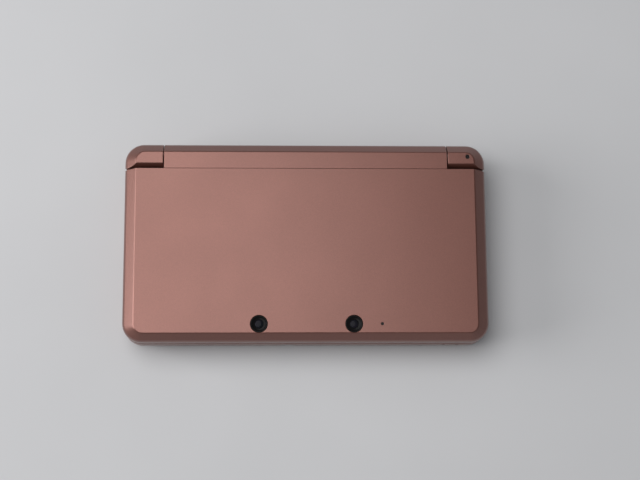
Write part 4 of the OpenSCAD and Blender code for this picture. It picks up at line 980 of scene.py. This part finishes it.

# %% [markdown]
# ## Slide pad
# The pad is a dished disc on a neck, with a wide skirt under the deck that covers the hole while
# the pad slides, all but a narrow crescent at the ends of its travel. All of it is one turned
# form. The carriage below, a plate with a slot for the pad's stem, is painted near-black as
# painted shade, so that the crescent beside the pad looks shaded.

# %% Slide pad
SKIRT = [(12.48, 8.92), (12.48, 9.3), (12.3, 9.38), (6.9, 9.4), (6.8, 9.6), (6.8, 10.4)]
RIM = [(8.1, 10.7), (8.35, 10.85), (8.4, 11.0), (8.38, 11.3), (8.25, 11.48), (8.0, 11.57),
       (7.7, 11.6), (7.4, 11.57), (7.15, 11.5), (6.95, 11.4)]
DISH = [(6.6, 11.35), (5.5, 11.25), (4.2, 11.18), (2.8, 11.13), (1.4, 11.11), (0.4, 11.1)]

pad = turned("slide_pad_cap", PAD_X, PAD_Y, SKIRT + RIM + DISH, 96)
combine(pad, post("stem", PAD_X, PAD_Y, 7.6, 9.0, 3.0), "UNION")
dress(pad, "slide_pad_part", "pad_grey", "slide_pad")

# %% Carriage under the pad
carriage = tablet("pad_carriage_plate", (-57.5, 0.5, 7.55), (-39.5, 18.5, 8.1), 1.0)
combine(carriage, tablet("stem_slot", (-52.1, 3.5, 7), (-44.9, 15.5, 9), 1.0))
ease(carriage, 0.1, at(Z, 8.1))
# painted shade: the carriage is painted near-black instead of satin grey, so the crescent around the
# pad looks shaded
dress(carriage, "slide_pad_carriage_part", "satin_grey", "slide_pad_carriage",
      material=painted_shade_steel)

# %% [markdown]
# ## Direction cross
# The cross is a square block whose four sides are extruded into arms, with rounded ends and a
# softened upper edge. A large sphere takes a shallow hollow out of its middle, and a small block
# cuts a groove into each arm. Below, a flange fills the hole and a foot stands on the pivot.

# %% Picking on the cross
CROSS_FOOT, CROSS_TOP = 9.0, 11.45
CORE = 3.2  # half the side of the square in the middle
ARM = 6.3


def core_side(direction):
    """The core's side that faces the direction, without the sides of arms drawn before."""
    core = Vector((CROSS_X, CROSS_Y, (CROSS_FOOT + CROSS_TOP) / 2)) * MM
    return lambda face: (face.calc_center_median() - core).normalized().dot(direction) > 0.99


def at_arm_end(edge):
    middle = (edge.verts[0].co + edge.verts[1].co) / 2 - Vector((CROSS_X, CROSS_Y, 0)) * MM
    return upright(edge) and max(abs(middle.x), abs(middle.y)) > (CORE + ARM - 0.1) * MM


# %% Direction cross
cross = box("cross_key", (CROSS_X - CORE, CROSS_Y - CORE, CROSS_FOOT),
            (CROSS_X + CORE, CROSS_Y + CORE, CROSS_TOP))
for direction in (Vector((1, 0, 0)), Vector((-1, 0, 0)), Vector((0, 1, 0)), Vector((0, -1, 0))):
    pick(cross, "FACE", core_side(direction))
    bpy.ops.mesh.extrude_region_move(TRANSFORM_OT_translate={"value": direction * ARM * MM})
pick(cross, "EDGE", at_arm_end)
bpy.ops.mesh.bevel(offset=1.0 * MM, segments=5, affect="EDGES")
ease(cross, 0.42, at(Z, CROSS_TOP), steps=4)
print("cross:", len(cross.data.polygons), "faces before its cuts")

# %% Hollow, grooves and foot of the cross
clear_selection()
bpy.ops.mesh.primitive_uv_sphere_add(segments=96, ring_count=64, radius=10 * MM,
                                     location=Vector((CROSS_X, CROSS_Y, 20.9)) * MM)
combine(cross, settle(bpy.context.active_object, "hollow"))
for dx, dy in ((7.1, 0), (-7.1, 0), (0, 7.1), (0, -7.1)):
    half_x, half_y = (0.35, 1.7) if dx else (1.7, 0.35)
    x, y = CROSS_X + dx, CROSS_Y + dy
    combine(cross, tablet("mark", (x - half_x, y - half_y, 11.2), (x + half_x, y + half_y, 13),
                          0.3, steps=4))
combine(cross, post("flange", CROSS_X, CROSS_Y, 8.98, 9.15, 6.4, 96), "UNION")
combine(cross, post("foot", CROSS_X, CROSS_Y, 8.8, 9.1, 2.0, 48), "UNION")
dress(cross, "direction_cross_part", "pink_keys", "direction_cross")

# %% [markdown]
# ## Buttons and keys
# The action buttons are one turned form with a low dome, made once and copied to its three other
# places. The three long menu keys are made the same way, and the power button is a small dished
# disc.

# %% Action buttons
dome = [(4.4, 9.12), (4.4, 9.48), (3.72, 9.5), (3.7, 9.55), (3.7, 10.75)]
dome += [(3.7 * cos(radians(a * 0.98)), 10.75 + 0.85 * sin(radians(a)))
         for a in (8, 16, 24, 32, 40, 50, 60, 70, 80, 86)]
first = turned("action_button_top", ACTION_X, ACTION_Y + ACTION_STEP, dome, 72)
actions = {"button_top": first}
for node, shift in (("button_bottom", (0, -2 * ACTION_STEP, 0)),
                    ("button_left", (-ACTION_STEP, -ACTION_STEP, 0)),
                    ("button_right", (ACTION_STEP, -ACTION_STEP, 0))):
    actions[node] = copied(first, "action_" + node, shift)
for node, piece in actions.items():
    dress(piece, node + "_part", "pink_keys", node)

# %% Menu keys
KEY_HALF, KEY_STEP = 10.275, 21.2  # half the length of a menu key, and their distance

menu = tablet("menu_key_home", (-KEY_HALF, -34.1, 9.12), (KEY_HALF, -30.1, 11.15), 1.0, edge=0.22)
flange = tablet("flange", (-KEY_HALF, -34.65, 9.1), (KEY_HALF, -29.55, 9.5), 0.6)
combine(menu, flange, "UNION")
keys = {"home_key": menu, "select_key": copied(menu, "menu_key_select", (-KEY_STEP, 0, 0)),
        "start_key": copied(menu, "menu_key_start", (KEY_STEP, 0, 0))}
for node, piece in keys.items():
    dress(piece, node + "_part", "dark_pink", node)

# %% Power button
disc = [(3.2, 9.12), (3.2, 9.48), (2.62, 9.5), (2.6, 9.55), (2.6, 11.0), (2.56, 11.12),
        (2.45, 11.19), (2.3, 11.2), (2.1, 11.18), (1.9, 11.12), (1.6, 11.08), (0.9, 11.06),
        (0.3, 11.05)]
power = turned("power_key", POWER_X, POWER_Y, disc, 64)
dress(power, "power_button_part", "satin_grey", "power_button")

# %% [markdown]
# ## Side knobs
# Two ridged knobs slide in grooves in the rim: the volume on the left, the wireless switch on the
# right. One function draws both, because only the side that points outwards differs.

# %% Side knobs
def side_knob(name, x, y):
    """A knob in the groove at x with three cuts across it and a stem into the console."""
    inwards = 1 if x < 0 else -1
    face = x + 0.1 * inwards
    left, right = sorted((face, x + 0.65 * inwards))
    piece = box(name, (left, y - 2.25, 7.95), (right, y + 2.25, 9.45))
    ease(piece, 0.15, at(X, face))
    for i in (-1, 0, 1):
        combine(piece, box("cut", (x - 0.3, y + i - 0.15, 7), (x + 0.3, y + i + 0.15, 10)))
    left, right = sorted((x + 0.3 * inwards, x + 2.4 * inwards))
    return combine(piece, box("stem", (left, y - 0.8, 8.45), (right, y + 0.8, 8.95)), "UNION")


for name, x, y, node in (("volume_knob", -HALF_X, 15, "volume_slider"),
                         ("wireless_knob", HALF_X, 9, "wireless_switch")):
    dress(side_knob(name, x, y), node + "_part", "dark_pink", node)

# %% [markdown]
# ## Memory hatch
# A thin hatch in the left side covers the memory card. Its outside is a piece of the tub's own
# curve, so it closes flush, and a pin along its lower edge is its hinge.

# %% Memory hatch
def on_outside(edge):
    return all(v.co.x < -65.8 * MM for v in edge.verts)


hatch = curved_block("memory_hatch", 0.02, BASE_FOOT, BASE_SEAM)
combine(hatch, box("frame", (-68, -21, 3.15), (-65.7, 6, 6.3)), "INTERSECT")
ease(hatch, 0.12, on_outside)
pin = drum("pin", (-65.73, -7.5, 3.55), 0.3, 28.6, ALONG_Y, 24)
combine(hatch, pin, "UNION")
dress(hatch, "memory_cover_part", "pink_shell", "memory_cover")

# %% [markdown]
# ## Stylus
# The stylus is two rods, one in the other: a steel shaft with a fine tip, and a coloured grip that
# fills its hole in the hinge edge. Both are turned standing up and then laid down in their bore.

# %% Stylus
def laid(piece, name):
    """Turns an upright piece so that its top points to the hinge edge, and puts it in its bore."""
    piece.rotation_euler = (-pi / 2, 0, 0)
    piece.location = Vector((STYLUS_X, 0, STYLUS_Z)) * MM
    return settle(piece, name)


shaft = [(0.4, -29), (0.75, -28.85), (1.0, -28.4), (1.15, -27.8), (1.2, -27), (1.2, -25.1),
         (1.7, -25.0), (1.9, -24.8), (1.9, 6.3), (1.8, 6.5), (1.2, 6.6), (1.2, 24.8), (1.1, 24.95)]
rod = laid(turned("rod", 0, 0, shaft, 48), "stylus_rod")
dress(rod, "stylus_shaft_part", "bare_steel", "stylus_shaft")
sleeve = [(1.85, 7.0), (2.0, 7.2), (2.0, 34.6), (1.93, 35.2), (1.7, 35.75), (1.3, 36.15),
          (0.8, 36.35), (0.2, 36.4)]
grip = turned("grip", 0, 0, sleeve, 64)
combine(grip, post("bore", 0, 0, 6, 29, 1.3, 48))
grip = laid(grip, "stylus_grip_dressed")
combine(grip, drum("notch", (STYLUS_X, 34.6, 2.45), 0.5, 5, ALONG_X, 32))
dress(grip, "stylus_grip_part", "dark_pink", "stylus_grip")

# %% [markdown]
# ## Size of the dressed console
# The dressed console is meant to fill the same box as the imported model. Its box is written
# out in millimetres.

# %% Finish
low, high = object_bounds()
print("visual box in mm:", [round(v / MM, 2) for v in (*low, *high)])
